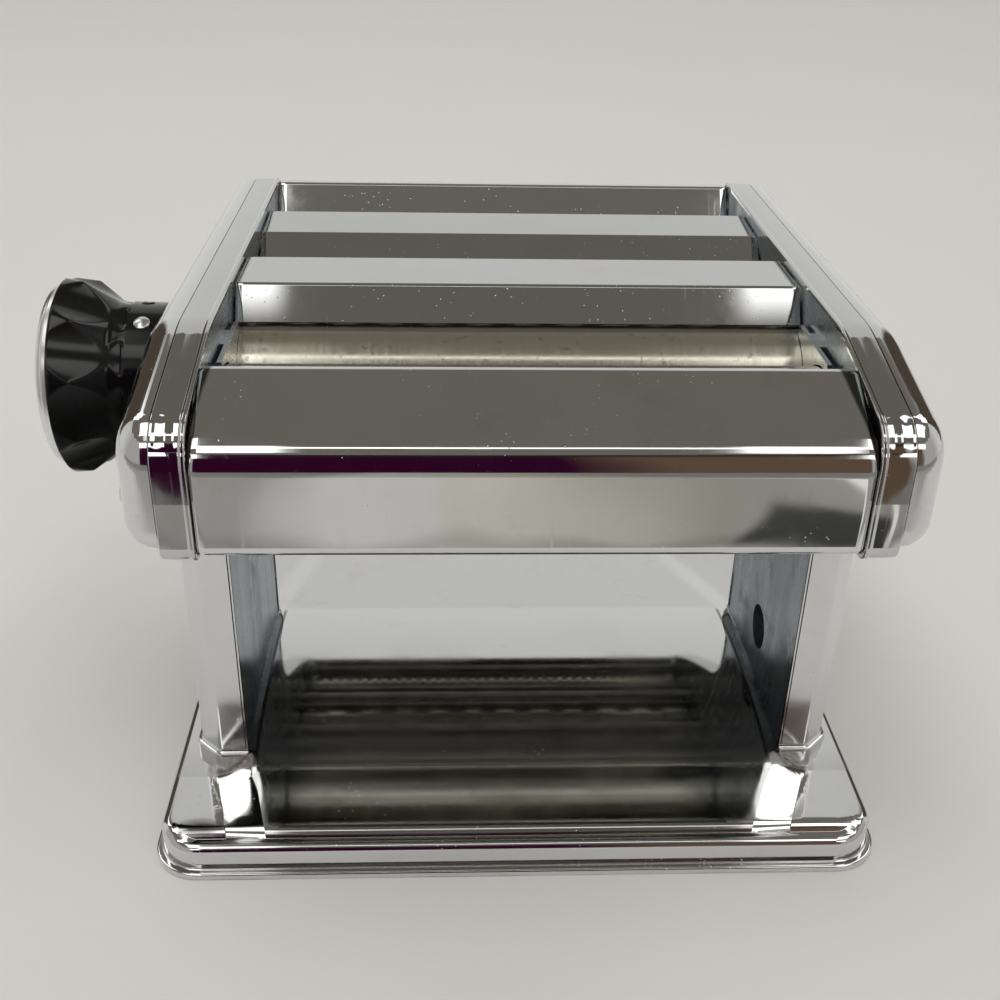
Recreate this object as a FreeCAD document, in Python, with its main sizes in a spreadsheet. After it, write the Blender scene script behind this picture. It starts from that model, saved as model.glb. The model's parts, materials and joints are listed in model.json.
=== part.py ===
import FreeCAD, Part
import math
import os
import re
import Sketcher

# Hand cranked pasta machine, in millimetres.
# X runs from the knob side (left, negative) to the crank side (right), Y to the rear, Z up.
# The origin is on the table, under the middle of the legs and on the knob's own plane.

V = FreeCAD.Vector
doc = FreeCAD.newDocument("pasta_machine")
sheet = doc.addObject("Spreadsheet::Sheet", "Sizes")

# Driving sizes: each is written once, here.
SIZES = [
    # head, seen from the side
    ("head_front", 73.2, "legs' middle to the front of the rim"),
    ("head_rear", 115.0, "legs' middle to the rear of the rim"),
    ("head_rise", 26.5, "smooth rollers' axes up to the top of the rim"),
    ("head_drop", 16.5, "smooth rollers' axes down to the bottom of the rim at the front"),
    ("nose_rise", 16.9, "smooth rollers' axes up to the corner under the rim's front slope"),
    ("slope_start", 30.0, "legs' middle forward to the start of the front slope"),
    ("nose_round", 11.0, "rounding of the rim's nose"),
    ("rear_round", 7.0, "rounding of the rim's rear top"),
    ("heel_drop", 28.5, "smooth rollers' axes down to the rim's rear bottom corner"),
    ("brace_height", 56.0, "table to the start of the slanted rear brace"),
    ("corner_round", 5.0, "rounding of the rim's bottom corners"),
    ("leg_fillet", 9.0, "fillet between leg and head"),
    ("leg_half", 37.0, "half of a leg's depth"),
    ("leg_depth", 12.2, "frame plate to a leg's outer face"),
    ("leg_facet", 6.0, "slant of a leg's outer corners"),
    ("foot_flange", 1.6, "flange round a leg's foot"),
    ("foot_flange_wall", 1.5, "thickness of the foot flange"),
    ("foot_slot_height", 2.0, "flat under the legs to the top of the slot for a frame plate's foot"),
    ("rim_hole_play", 1.0, "gap round a journal in the rim"),
    ("socket_hole_play", 2.4, "gap round a crank socket in the side cover"),
    # across the machine
    ("feed_width", 150.0, "clear width between the dough guides"),
    ("guide_wall", 1.3, "thickness of a dough guide"),
    ("guide_offset", 0.2, "roller end to guide"),
    ("end_play", 0.7, "roller end to frame plate"),
    ("frame_wall", 1.6, "thickness of a frame plate"),
    ("rim_width", 8.0, "width of the rim strip"),
    ("cut_past", 1.0, "how far a cutting form runs past what it cuts"),
    ("sheet_wall", 1.0, "thickness of the chromed sheet of rim, cover and base"),
    ("frame_fit", 0.25, "gap between frame plate and rim"),
    ("cover_bulge", 8.5, "height of a side cover over the rim"),
    ("cover_round", 7.5, "rounding of a side cover's edge"),
    ("cover_gap", 0.1, "gap between rim and side cover"),
    ("cover_inset", 0.4, "side cover's step in from the rim's outline"),
    ("cover_lift", 2.0, "side cover's lower edge over the rim's"),
    # rollers
    ("smooth_radius", 14.3, "smooth roller"),
    ("thinnest_dough", 0.4, "closest gap of the smooth rollers"),
    ("gap_travel", 2.4, "travel of the rear smooth roller"),
    ("smooth_height", 116.5, "table to the smooth rollers' axes"),
    ("cutter_radius", 11.5, "rings of the cutting rollers"),
    ("groove_radius", 8.2, "bottom of the grooves between rings"),
    ("ring_clearance", 0.3, "ring top to groove bottom"),
    ("ring_side_clearance", 0.12, "ring side to the next roller's ring"),
    ("cutter_rise", 3.0, "smooth rollers' axes up to the cutting rollers' axes"),
    ("wide_place", 45.0, "legs' middle to the wide cutters' middle"),
    ("narrow_place", 91.5, "legs' middle to the narrow cutters' middle"),
    ("wide_rings", 11, "rings on a wide cutter"),
    ("narrow_rings", 36, "rings on a narrow cutter"),
    ("wide_pitch", 13.3, "ring to ring on a wide cutter"),
    ("narrow_pitch", 4.1, "ring to ring on a narrow cutter"),
    ("journal_radius", 5.5, "all journals"),
    ("running_clearance", 0.05, "radial clearance of journals"),
    ("left_journal", 3.1, "journal beyond the roller's left end"),
    ("socket_reach", 91.3, "middle to the mouth of a crank socket"),
    ("socket_radius", 4.1, "bore of a crank socket"),
    ("socket_depth", 10.0, "depth of a crank socket"),
    ("socket_slot", 2.4, "width of a crank socket's cross slot"),
    ("socket_slot_depth", 3.0, "depth of the cross slot"),
    ("bush_wall", 2.4, "wall of a bush"),
    ("bush_flange", 1.6, "flange of a bush beyond its body"),
    ("bush_flange_wall", 0.5, "thickness of a bush's flange"),
    # gears
    ("gear_width", 4.0, "face width of the gears"),
    ("gear_play", 0.3, "bush flange to gear"),
    ("smooth_teeth", 20, "teeth of a smooth roller's gear"),
    ("cutter_teeth", 16, "teeth of a cutter's gear"),
    ("tooth_root_play", 0.2, "depth under a tooth in mesh, in modules"),
    ("tooth_play", 0.16, "gap beside a tooth in mesh"),
    # sliding carriage of the rear smooth roller
    ("block_front", 9.0, "roller axis to the block's front edge"),
    ("block_rear", 21.0, "roller axis to the block's rear edge"),
    ("block_up", 9.5, "roller axis to the block's top edge"),
    ("block_down", 17.5, "roller axis to the block's bottom edge"),
    ("block_fit", 0.08, "gap between block and window"),
    ("block_lip", 1.6, "lip of a block over its window"),
    ("block_proud", 0.2, "slide block inside the plate's inner face"),
    ("block_lip_play", 0.1, "plate to the lip of a slide block"),
    ("block_lip_wall", 0.5, "thickness of that lip"),
    ("bar_radius", 2.5, "carriage bar"),
    ("bar_back", 17.0, "roller axis back to the carriage bar"),
    ("bar_down", 13.5, "roller axis down to the carriage bar"),
    # gap adjuster
    ("knob_turn_range", 270.0, "turn of the knob in degrees"),
    ("cam_pin_play", 0.2, "end of the pin to the bottom of the groove"),
    ("cam_pin_radius", 1.5, "pin that runs in the spiral groove"),
    ("cam_pin_place", 10.5, "knob axis to the pin at rest"),
    ("cam_groove_play", 0.08, "gap beside the pin"),
    ("cam_groove_depth", 2.0, "depth of the spiral groove"),
    ("cam_radius", 16.2, "cam disc"),
    ("cam_wall", 3.2, "thickness of the cam disc"),
    ("cam_start", 80.2, "middle to the cam disc's inner face"),
    ("spindle_opening_play", 1.0, "gap round the spindle in the rim's wall"),
    ("spindle_radius", 5.0, "spindle in its bush"),
    ("square_width", 6.6, "square part of the spindle"),
    ("square_start", 98.0, "middle to the start of the square"),
    ("square_end", 112.5, "middle to the end of the square"),
    ("square_fit", 0.05, "gap between square and knob"),
    ("spindle_bush_radius", 6.6, "outside of the spindle's bush"),
    ("spindle_bush_start", 88.5, "middle to the bush's inner end"),
    ("spindle_bush_end", 95.4, "middle to the bush's outer end"),
    ("index_ring_radius", 13.5, "numbered stop ring under the knob"),
    ("index_ring_wall", 1.3, "thickness of that ring"),
    ("index_hole_radius", 1.3, "holes of the stop ring"),
    ("index_hole_place", 10.5, "knob axis to the stop holes"),
    ("index_steps", 9, "steps of the knob"),
    ("index_pin_radius", 1.1, "stop pin in the knob"),
    ("index_pin_relief", 0.2, "stop pin's tip off the ring"),
    # knob
    ("knob_start", 94.2, "middle to the knob's inner edge"),
    ("knob_neck_end", 105.5, "middle to the end of the neck"),
    ("knob_rim_start", 113.0, "middle to the start of the rim"),
    ("knob_collar_wall", 1.0, "wall of the knob's collar round the spindle"),
    ("knob_rim_end", 119.3, "middle to the knob's face"),
    ("knob_neck_radius", 19.6, "neck of the knob"),
    ("knob_rim_radius", 26.4, "rim of the knob"),
    ("knob_cavity_radius", 15.5, "hollow over the stop ring"),
    ("knob_cavity_end", 99.5, "middle to the hollow's floor"),
    ("knob_web_end", 103.0, "middle to the spring's seat"),
    ("knob_spring_room", 8.2, "radius of the spring chamber"),
    ("knob_facets", 10, "scallops round the knob"),
    ("knob_facet_radius", 17.0, "radius of a scallop"),
    ("knob_facet_bite", 1.7, "depth of a scallop at the rim"),
    ("knob_cap_radius", 19.0, "silver cap"),
    ("knob_cap_edge", 1.0, "cap's edge height"),
    ("knob_cap_dome", 5.0, "cap's height"),
    ("spring_wire", 0.8, "spring wire"),
    ("spring_mean", 6.2, "mean radius of the spring"),
    ("spring_turns", 4.5, "turns of the spring"),
    ("washer_radius", 7.6, "screw head that holds the spring"),
    ("washer_wall", 1.6, "thickness of that head"),
    # covers over the rollers, outer skins
    ("skin_wall", 0.8, "thickness of covers and ridges"),
    ("skin_play", 0.3, "cover end to frame plate"),
    ("front_cover_edge", 46.7, "legs' middle forward to the cover's rear edge"),
    ("front_cover_rise", 23.2, "smooth rollers' axes up to the cover's rear edge"),
    ("front_cover_face", 72.2, "legs' middle forward to the cover's face"),
    ("front_cover_nose_rise", 11.9, "smooth rollers' axes up to the corner under the cover's slope"),
    ("front_cover_round", 9.0, "rounding of the cover's nose"),
    ("front_cover_drop", 14.9, "smooth rollers' axes down to the cover's rolled edge"),
    ("front_cover_hem", 4.0, "width of the rolled edge"),
    ("feed_lip_drop", 8.7, "drop of the cover's inner lip"),
    ("feed_lip_run", 5.2, "run of the cover's inner lip"),
    ("ridge_gap", 0.8, "rear smooth roller's top up to the front ridge's front edge"),
    ("ridge_step", 8.9, "that edge up to the front ridge's top"),
    ("ridge_low_place", 0.9, "legs' middle to the front ridge's front edge"),
    ("ridge_front", 7.0, "legs' middle to the front ridge's top edge"),
    ("ridge_rear", 29.8, "legs' middle to the front ridge's rear top edge"),
    ("hopper_rise", 16.1, "smooth rollers' axes up to the lower edges round the cutters"),
    ("wide_hopper_half", 6.0, "half opening over the wide cutters"),
    ("narrow_hopper_half", 4.8, "half opening over the narrow cutters"),
    ("rear_ridge_front", 60.8, "legs' middle to the rear ridge's front top edge"),
    ("rear_ridge_front_rise", 22.0, "smooth rollers' axes up to that edge"),
    ("rear_ridge_rear", 80.1, "legs' middle to the rear ridge's rear top edge"),
    ("rear_ridge_rear_rise", 23.2, "smooth rollers' axes up to that edge"),
    ("rear_panel_low_place", 102.6, "legs' middle to the rear cover's lower edge"),
    ("rear_panel_rise", 16.5, "smooth rollers' axes up to the rear cover's lower edge"),
    ("rear_panel_edge", 108.4, "legs' middle to the rear cover's top edge"),
    ("rear_cover_rise", 25.1, "smooth rollers' axes up to the rear cover's top"),
    ("rear_cover_face", 114.6, "legs' middle to the rear cover's face"),
    ("rear_cover_drop", 26.5, "smooth rollers' axes down to the rear cover's lower edge"),
    ("bend_round", 1.6, "rounding of the covers' bends"),
    # dough guides
    ("guide_rise", 16.8, "smooth rollers' axes up to a guide's top edge"),
    ("guide_front", 31.5, "legs' middle forward to a guide's front end"),
    ("guide_rear", 3.6, "legs' middle forward to a guide's rear end"),
    ("guide_gap", 0.4, "guide to roller"),
    ("guide_tip_rise", 6.3, "smooth rollers' axes up to a guide's tip in the nip"),
    ("guide_tab_drop", 1.6, "height of a guide's side tab"),
    ("guide_tab_half", 5.0, "half length of a guide's side tab"),
    # scrapers and combs
    ("scraper_share", 0.9, "axis down to a scraper's edge, in roller radii"),
    ("scraper_wall", 0.6, "thickness of a scraper"),
    ("scraper_gap", 0.6, "scraper tip to roller"),
    ("scraper_side_gap", 1.0, "end of the rear scraper to frame plate"),
    ("comb_wall", 0.8, "thickness of a comb"),
    ("comb_offset", 3.0, "cutter axis to its comb"),
    ("comb_height", 5.5, "height of a comb's back"),
    ("comb_gap", 0.4, "comb to ring and groove"),
    # tie rods and fasteners
    ("rod_radius", 3.0, "tie rod"),
    ("rod_neck_radius", 2.0, "threaded end of a tie rod"),
    ("rod_neck", 3.8, "length of a threaded end past the plate"),
    ("nut_flats", 7.0, "width of a nut across flats"),
    ("nut_wall", 2.4, "thickness of a nut"),
    ("front_rod_place", 61.0, "legs' middle forward to the front rod"),
    ("front_rod_drop", 10.5, "smooth rollers' axes down to the front rod"),
    ("middle_rod_place", 30.0, "legs' middle to the middle rod"),
    ("middle_rod_drop", 17.0, "smooth rollers' axes down to the middle rod"),
    ("third_rod_place", 68.3, "legs' middle to the third rod"),
    ("third_rod_drop", 13.5, "smooth rollers' axes down to the third rod"),
    ("rear_rod_place", 107.3, "legs' middle to the rear rod"),
    ("rear_rod_drop", 17.0, "smooth rollers' axes down to the rear rod"),
    ("cover_screw_radius", 1.9, "screws of the side covers"),
    ("cover_screw_head", 3.6, "head radius of those screws"),
    ("cover_screw_head_wall", 1.4, "head height of those screws"),
    ("cover_screw_front", 61.0, "legs' middle forward to the front cover screw"),
    ("cover_screw_front_drop", 3.5, "smooth rollers' axes down to the front cover screw"),
    ("cover_screw_rear_rise", 14.9, "smooth rollers' axes up to the rear cover screw"),
    ("screw_hole_play", 0.2, "gap round a screw"),
    # base
    ("base_half", 100.0, "half width of the base at its lip"),
    ("base_front", 71.0, "legs' middle to the base's front lip"),
    ("base_rear", 87.0, "legs' middle to the base's rear lip"),
    ("base_lip", 2.2, "width of the lip"),
    ("base_lip_wall", 1.9, "height of the lip"),
    ("base_edge_height", 9.2, "table to the base's top edge"),
    ("base_corner", 13.0, "corner rounding of the lip"),
    ("base_edge_round", 2.6, "rounding of the base's top edge"),
    ("base_bevel_start", 3.4, "base wall to the foot of its bevel"),
    ("base_top", 13.9, "table to the flat under the legs"),
    ("flat_margin", 1.8, "foot flange to the side edge of that flat"),
    ("base_top_front", 43.0, "legs' middle to the front crease"),
    ("base_top_rear", 40.0, "legs' middle to the rear crease"),
    ("bevel_sink", 0.4, "base's top edge down to the foot of its bevel"),
    ("crown_height", 4.4, "crown between the legs"),
    ("crown_half", 75.2, "half width of the crown"),
    ("pad_radius", 7.0, "rubber pads under the base"),
    ("pad_inset", 17.0, "base wall to a pad's middle"),
    ("foot_tab_gap", 1.4, "inside of a leg to the end of a frame plate's foot"),
    ("foot_tab_wall", 1.6, "thickness of that foot"),
    ("foot_tab_half", 31.0, "half length of that foot"),
    ("foot_screw_spread", 22.0, "legs' middle to a foot screw"),
    ("foot_screw_radius", 2.0, "foot screws"),
    ("foot_screw_head", 3.6, "head radius of the foot screws"),
    ("foot_screw_head_wall", 2.0, "head height of the foot screws"),
    # clamp socket in the right leg
    ("clamp_radius", 7.0, "hole for the table clamp's prong"),
    ("clamp_height", 32.4, "table to that hole"),
    ("clamp_sleeve_wall", 1.4, "wall of the sleeve behind it"),
]

for row, (alias, amount, note) in enumerate(SIZES, start=1):
    sheet.set("A%d" % row, alias)
    sheet.set("B%d" % row, str(amount))
    sheet.setAlias("B%d" % row, alias)
    sheet.set("C%d" % row, note)
doc.recompute()

# Places worked out from the driving sizes, as expressions in their words.
WORKED = {
    "roller_half": "(feed_width / 2 + guide_wall + guide_offset)",
    "plate_inner": "(roller_half + end_play)",
    "plate_outer": "(plate_inner + frame_wall)",
    "rim_inner": "(plate_inner - frame_fit)",
    "rim_outer": "(rim_inner + rim_width)",
    "cover_inner": "(rim_outer + cover_gap)",
    "cover_outer": "(rim_outer + cover_bulge)",
    "smooth_centres": "(2 * smooth_radius + thinnest_dough)",
    "cutter_centres": "(cutter_radius + groove_radius + ring_clearance)",
    "wide_front": "(wide_place - cutter_centres / 2)",
    "wide_rear": "(wide_place + cutter_centres / 2)",
    "narrow_front": "(narrow_place - cutter_centres / 2)",
    "narrow_rear": "(narrow_place + cutter_centres / 2)",
    "bush_bore": "(journal_radius + running_clearance)",
    "bush_radius": "(bush_bore + bush_wall)",
    "bush_end": "(plate_outer + bush_flange_wall)",
    "gear_start": "(bush_end + gear_play)",
    "skin_half": "(plate_inner - skin_play)",
    "groove_width": "(2 * (cam_pin_radius + cam_groove_play))",
    "block_end": "(plate_outer + block_lip_play + block_lip_wall)",
    "head_top": "(smooth_height + head_rise)",
    "head_bottom": "(smooth_height - head_drop)",
    "nose_height": "(smooth_height + nose_rise)",
    "heel_height": "(smooth_height - heel_drop)",
    "cutter_height": "(smooth_height + cutter_rise)",
    "front_cover_top": "(smooth_height + front_cover_rise)",
    "front_cover_nose": "(smooth_height + front_cover_nose_rise)",
    "front_cover_bottom": "(smooth_height - front_cover_drop)",
    "hopper_low": "(smooth_height + hopper_rise)",
    "rear_ridge_front_top": "(smooth_height + rear_ridge_front_rise)",
    "rear_ridge_rear_top": "(smooth_height + rear_ridge_rear_rise)",
    "rear_panel_low": "(smooth_height + rear_panel_rise)",
    "rear_cover_top": "(smooth_height + rear_cover_rise)",
    "rear_cover_bottom": "(smooth_height - rear_cover_drop)",
    "guide_top": "(smooth_height + guide_rise)",
    "guide_tip": "(smooth_height + guide_tip_rise)",
    "front_rod_height": "(smooth_height - front_rod_drop)",
    "middle_rod_height": "(smooth_height - middle_rod_drop)",
    "third_rod_height": "(smooth_height - third_rod_drop)",
    "rear_rod_height": "(smooth_height - rear_rod_drop)",
    "cover_screw_front_height": "(smooth_height - cover_screw_front_drop)",
    "cover_screw_rear_height": "(smooth_height + cover_screw_rear_rise)",
    "ridge_low": "(smooth_height + smooth_radius + ridge_gap)",
    "ridge_top": "(ridge_low + ridge_step)",
    "leg_reach": "(plate_outer + leg_depth)",
    "foot_tab_reach": "(leg_reach - sheet_wall - foot_tab_gap)",
    "base_top_half": "(leg_reach + foot_flange + flat_margin)",
    "foot_screw_place": "((plate_outer + leg_reach - sheet_wall) / 2)",
    "knob_socket": "(square_width / 2 + square_fit)",
    "scraper_drop": "(scraper_share * smooth_radius)",
}
WORD = re.compile(r"[a-z]+_[a-z_]*[a-z]")
ALIASES = {alias for alias, amount, note in SIZES}


def spelled(text):
    """Open the worked-out words of an expression until only driving sizes are left."""
    while True:
        longer = WORD.sub(lambda word: WORKED.get(word.group(), word.group()), text)
        if longer == text:
            return longer
        text = longer


def size(text):
    """The number that an expression in words comes to."""
    return float(sheet.evalExpression(spelled(text)))


def bind(thing, where, text):
    """Tie one property of an object to an expression in words."""
    tied = WORD.sub(lambda word: "Sizes." + word.group() if word.group() in ALIASES else word.group(),
                    spelled(text))
    thing.setExpression(where, tied)


def named(thing, label):
    """Give a finished sub-part its own label, which names its file."""
    thing.Label = label
    finished[label] = thing
    return thing


finished = {}

# Planes for sketches: sketch x and y become X and Y, Y and Z, or X and Z.
TURNS = {
    "XY": FreeCAD.Rotation(),
    "YZ": FreeCAD.Rotation(V(1, 1, 1), 120),
    "XZ": FreeCAD.Rotation(V(1, 0, 0), 90),
}
AXIS_OF = {"XY": "z", "YZ": "x", "XZ": "y"}
ACROSS = {"XY": V(0, 0, 1), "YZ": V(1, 0, 0), "XZ": V(0, 1, 0)}


def draw(sketch, corners, closed=True):
    """Draw a bound outline: corners are (x, y) or (x, y, rounding), all expressions in words."""
    spots = [V(size(corner[0]), size(corner[1]), 0) for corner in corners]
    count = len(corners)
    starts, ends, arcs = {}, {}, {}
    for index, corner in enumerate(corners):
        spot = spots[index]
        if len(corner) == 2:
            starts[index] = ends[index] = spot
            continue
        back = (spots[index - 1] - spot).normalize()
        ahead = (spots[(index + 1) % count] - spot).normalize()
        radius = size(corner[2])
        half = back.getAngle(ahead) / 2
        reach = radius / math.tan(half)
        ends[index] = spot + back * reach
        starts[index] = spot + ahead * reach
        middle = spot + (back + ahead).normalize() * (radius / math.sin(half))
        halfway = middle + (spot - middle).normalize() * radius
        arcs[index] = (ends[index], halfway, starts[index])
    lines = []
    for index in range(count if closed else count - 1):
        following = (index + 1) % count
        lines.append(sketch.addGeometry(Part.LineSegment(starts[index], ends[following])))
    tied = []

    def pin_down(piece, point, corner):
        for kind, part in (("DistanceX", 0), ("DistanceY", 1)):
            amount = size(corner[part])
            tied.append((sketch.addConstraint(
                Sketcher.Constraint(kind, -1, 1, piece, point, amount)), corner[part]))

    for index, corner in enumerate(corners):
        before, after = lines[index - 1], lines[index] if index < len(lines) else None
        if not closed and index == 0:
            pin_down(lines[0], 1, corner)
        elif not closed and index == count - 1:
            pin_down(lines[-1], 2, corner)
        elif index in arcs:
            arc = sketch.addGeometry(Part.Arc(*arcs[index]))
            first_end = sketch.getPoint(arc, 1).distanceToPoint(ends[index]) < 1e-6
            near, far = (1, 2) if first_end else (2, 1)
            mark = sketch.addGeometry(Part.Point(spots[index]), True)
            sketch.addConstraint(Sketcher.Constraint("Tangent", before, 2, arc, near))
            sketch.addConstraint(Sketcher.Constraint("Tangent", arc, far, after, 1))
            sketch.addConstraint(Sketcher.Constraint("PointOnObject", mark, 1, before))
            sketch.addConstraint(Sketcher.Constraint("PointOnObject", mark, 1, after))
            tied.append((sketch.addConstraint(
                Sketcher.Constraint("Radius", arc, size(corner[2]))), corner[2]))
            pin_down(mark, 1, corner)
        else:
            sketch.addConstraint(Sketcher.Constraint("Coincident", before, 2, after, 1))
            pin_down(after, 1, corner)
    for number, text in tied:
        bind(sketch, "Constraints[%d]" % number, text)
    return sketch


def draw_circles(sketch, circles):
    """Draw bound circles: each is (x, y, radius), all expressions in words."""
    for x, y, radius in circles:
        ring = sketch.addGeometry(Part.Circle(V(size(x), size(y), 0), V(0, 0, 1), size(radius)))
        for kind, text in (("DistanceX", x), ("DistanceY", y)):
            number = sketch.addConstraint(Sketcher.Constraint(kind, -1, 1, ring, 3, size(text)))
            bind(sketch, "Constraints[%d]" % number, text)
        number = sketch.addConstraint(Sketcher.Constraint("Radius", ring, size(radius)))
        bind(sketch, "Constraints[%d]" % number, radius)
    return sketch


def free_sketch(name, plane):
    """A sketch outside any body, standing in one of the three main planes."""
    sketch = doc.addObject("Sketcher::SketchObject", name)
    sketch.Placement = FreeCAD.Placement(V(0, 0, 0), TURNS[plane])
    return sketch


def extrude(name, source, plane, start, length):
    """Carry an outline across its plane, from start, over length."""
    block = doc.addObject("Part::Extrusion", name)
    block.Base = source
    block.DirMode = "Custom"
    block.Dir = ACROSS[plane]
    block.Solid = True
    block.FaceMakerClass = "Part::FaceMakerBullseye"
    bind(block, "LengthFwd", length)
    bind(block, "Placement.Base." + AXIS_OF[plane], start)
    return block


def prism(name, plane, corners, start, length):
    """A prism with a bound outline."""
    return extrude(name, draw(free_sketch(name + "_outline", plane), corners), plane, start, length)


def rods(name, plane, circles, start, length):
    """Round bars, or the tools for round holes, all of one length."""
    sketch = draw_circles(free_sketch(name + "_rings", plane), circles)
    return extrude(name, sketch, plane, start, length)


def offset(name, source, amount, fill=False):
    """An outline drawn again at a distance, outwards when the amount is positive."""
    copy = doc.addObject("Part::Offset2D", name)
    copy.Source = source
    bind(copy, "Value", amount)
    copy.Fill = fill
    return copy


def fused(name, pieces):
    whole = doc.addObject("Part::MultiFuse", name)
    whole.Shapes = pieces
    whole.Refine = True
    return whole


def cut(name, base, tool):
    rest = doc.addObject("Part::Cut", name)
    rest.Base = base
    rest.Tool = tool
    return rest


def common(name, base, tool):
    """What base and tool share."""
    both = doc.addObject("Part::Common", name)
    both.Base = base
    both.Tool = tool
    return both


def mirrored(name, source):
    """The same piece on the other side of the machine."""
    twin = doc.addObject("Part::Mirroring", name)
    twin.Source = source
    twin.Base = V(0, 0, 0)
    twin.Normal = V(1, 0, 0)
    return twin


def round_edges(name, source, radius, wanted):
    """Round the edges that the test picks."""
    doc.recompute()
    picked = [number for number, edge in enumerate(source.Shape.Edges, start=1) if wanted(edge)]
    rounded = doc.addObject("Part::Fillet", name)
    rounded.Base = source
    rounded.Edges = [(number, radius, radius) for number in picked]
    return rounded


def bent_sheet(name, corners, wall, half):
    """A folded sheet: its outer skin drawn in side view, thickened, and carried across the machine."""
    path = draw(free_sketch(name + "_skin", "YZ"), corners, closed=False)
    side = offset(name + "_side", path, wall, fill=True)
    return extrude(name + "_sheet", side, "YZ", "-(%s)" % half, "2 * (%s)" % half)


# Bodies that are turned, padded and patterned.
def new_body(name, x="0", y="0", z="0"):
    body = doc.addObject("PartDesign::Body", name)
    for way, text in (("x", x), ("y", y), ("z", z)):
        bind(body, "Placement.Base." + way, text)
    return body


def body_sketch(body, name, plane, lift=None):
    sketch = body.newObject("Sketcher::SketchObject", name)
    role = plane + "_Plane"
    home = [item for item in body.Origin.OriginFeatures if item.Role == role][0]
    sketch.AttachmentSupport = [(home, "")]
    sketch.MapMode = "FlatFace"
    if lift:
        bind(sketch, "AttachmentOffset.Base.z", lift)
    return sketch


def turned(body, name, corners, kind="PartDesign::Revolution"):
    """Turn a bound half profile (along X, radius) about the body's own X axis."""
    sketch = draw(body_sketch(body, name + "_profile", "XY"), corners)
    feature = body.newObject(kind, name)
    feature.Profile = sketch
    feature.ReferenceAxis = (sketch, ["H_Axis"])
    feature.Angle = 360
    body.Tip = feature
    return feature


def row_along_x(body, feature, name, count, span):
    """Repeat a feature along X."""
    pattern = body.newObject("PartDesign::LinearPattern", name)
    pattern.Originals = [feature]
    line = [item for item in body.Origin.OriginFeatures if item.Role == "X_Axis"][0]
    pattern.Direction = (line, [""])
    bind(pattern, "Length", span)
    bind(pattern, "Occurrences", count)
    body.Tip = pattern
    return pattern


def ring_about_x(body, feature, name, count):
    """Repeat a feature round the body's X axis."""
    pattern = body.newObject("PartDesign::PolarPattern", name)
    pattern.Originals = [feature]
    line = [item for item in body.Origin.OriginFeatures if item.Role == "X_Axis"][0]
    pattern.Axis = (line, [""])
    pattern.Angle = 360
    bind(pattern, "Occurrences", count)
    body.Tip = pattern
    return pattern


# Side outline of rim, frame and legs, drawn once.
side_outline = draw(free_sketch("side_outline", "YZ"), [
    ("-leg_half", "base_top"),
    ("-leg_half", "head_bottom", "leg_fillet"),
    ("-head_front", "head_bottom", "corner_round"),
    ("-head_front", "nose_height", "nose_round"),
    ("-slope_start", "head_top", "4 * nose_round"),
    ("head_rear", "head_top", "rear_round"),
    ("head_rear", "heel_height", "corner_round"),
    ("leg_half", "brace_height", "2 * leg_fillet"),
    ("leg_half", "base_top"),
])
head_outline = draw(free_sketch("head_outline", "YZ"), [
    ("-head_front + cover_inset", "head_bottom + cover_lift", "cover_round"),
    ("-head_front + cover_inset", "nose_height - cover_inset / 2", "nose_round"),
    ("-slope_start", "head_top - cover_inset", "4 * nose_round"),
    ("head_rear - cover_inset", "head_top - cover_inset", "rear_round"),
    ("head_rear - cover_inset", "head_bottom + cover_lift", "cover_round"),
])
inner_outline = offset("inner_outline", side_outline, "-sheet_wall")
frame_outline = offset("frame_outline", side_outline, "-(sheet_wall + frame_fit)")


def leg_plan(shrink):
    """Plan of a leg, with its outer corners slanted."""
    return [
        ("rim_inner", "-(leg_half - (%s))" % shrink),
        ("leg_reach - leg_facet", "-(leg_half - (%s))" % shrink),
        ("leg_reach - (%s)" % shrink, "-(leg_half - leg_facet)"),
        ("leg_reach - (%s)" % shrink, "leg_half - leg_facet"),
        ("leg_reach - leg_facet", "leg_half - (%s)" % shrink),
        ("rim_inner", "leg_half - (%s)" % shrink),
    ]


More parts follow.
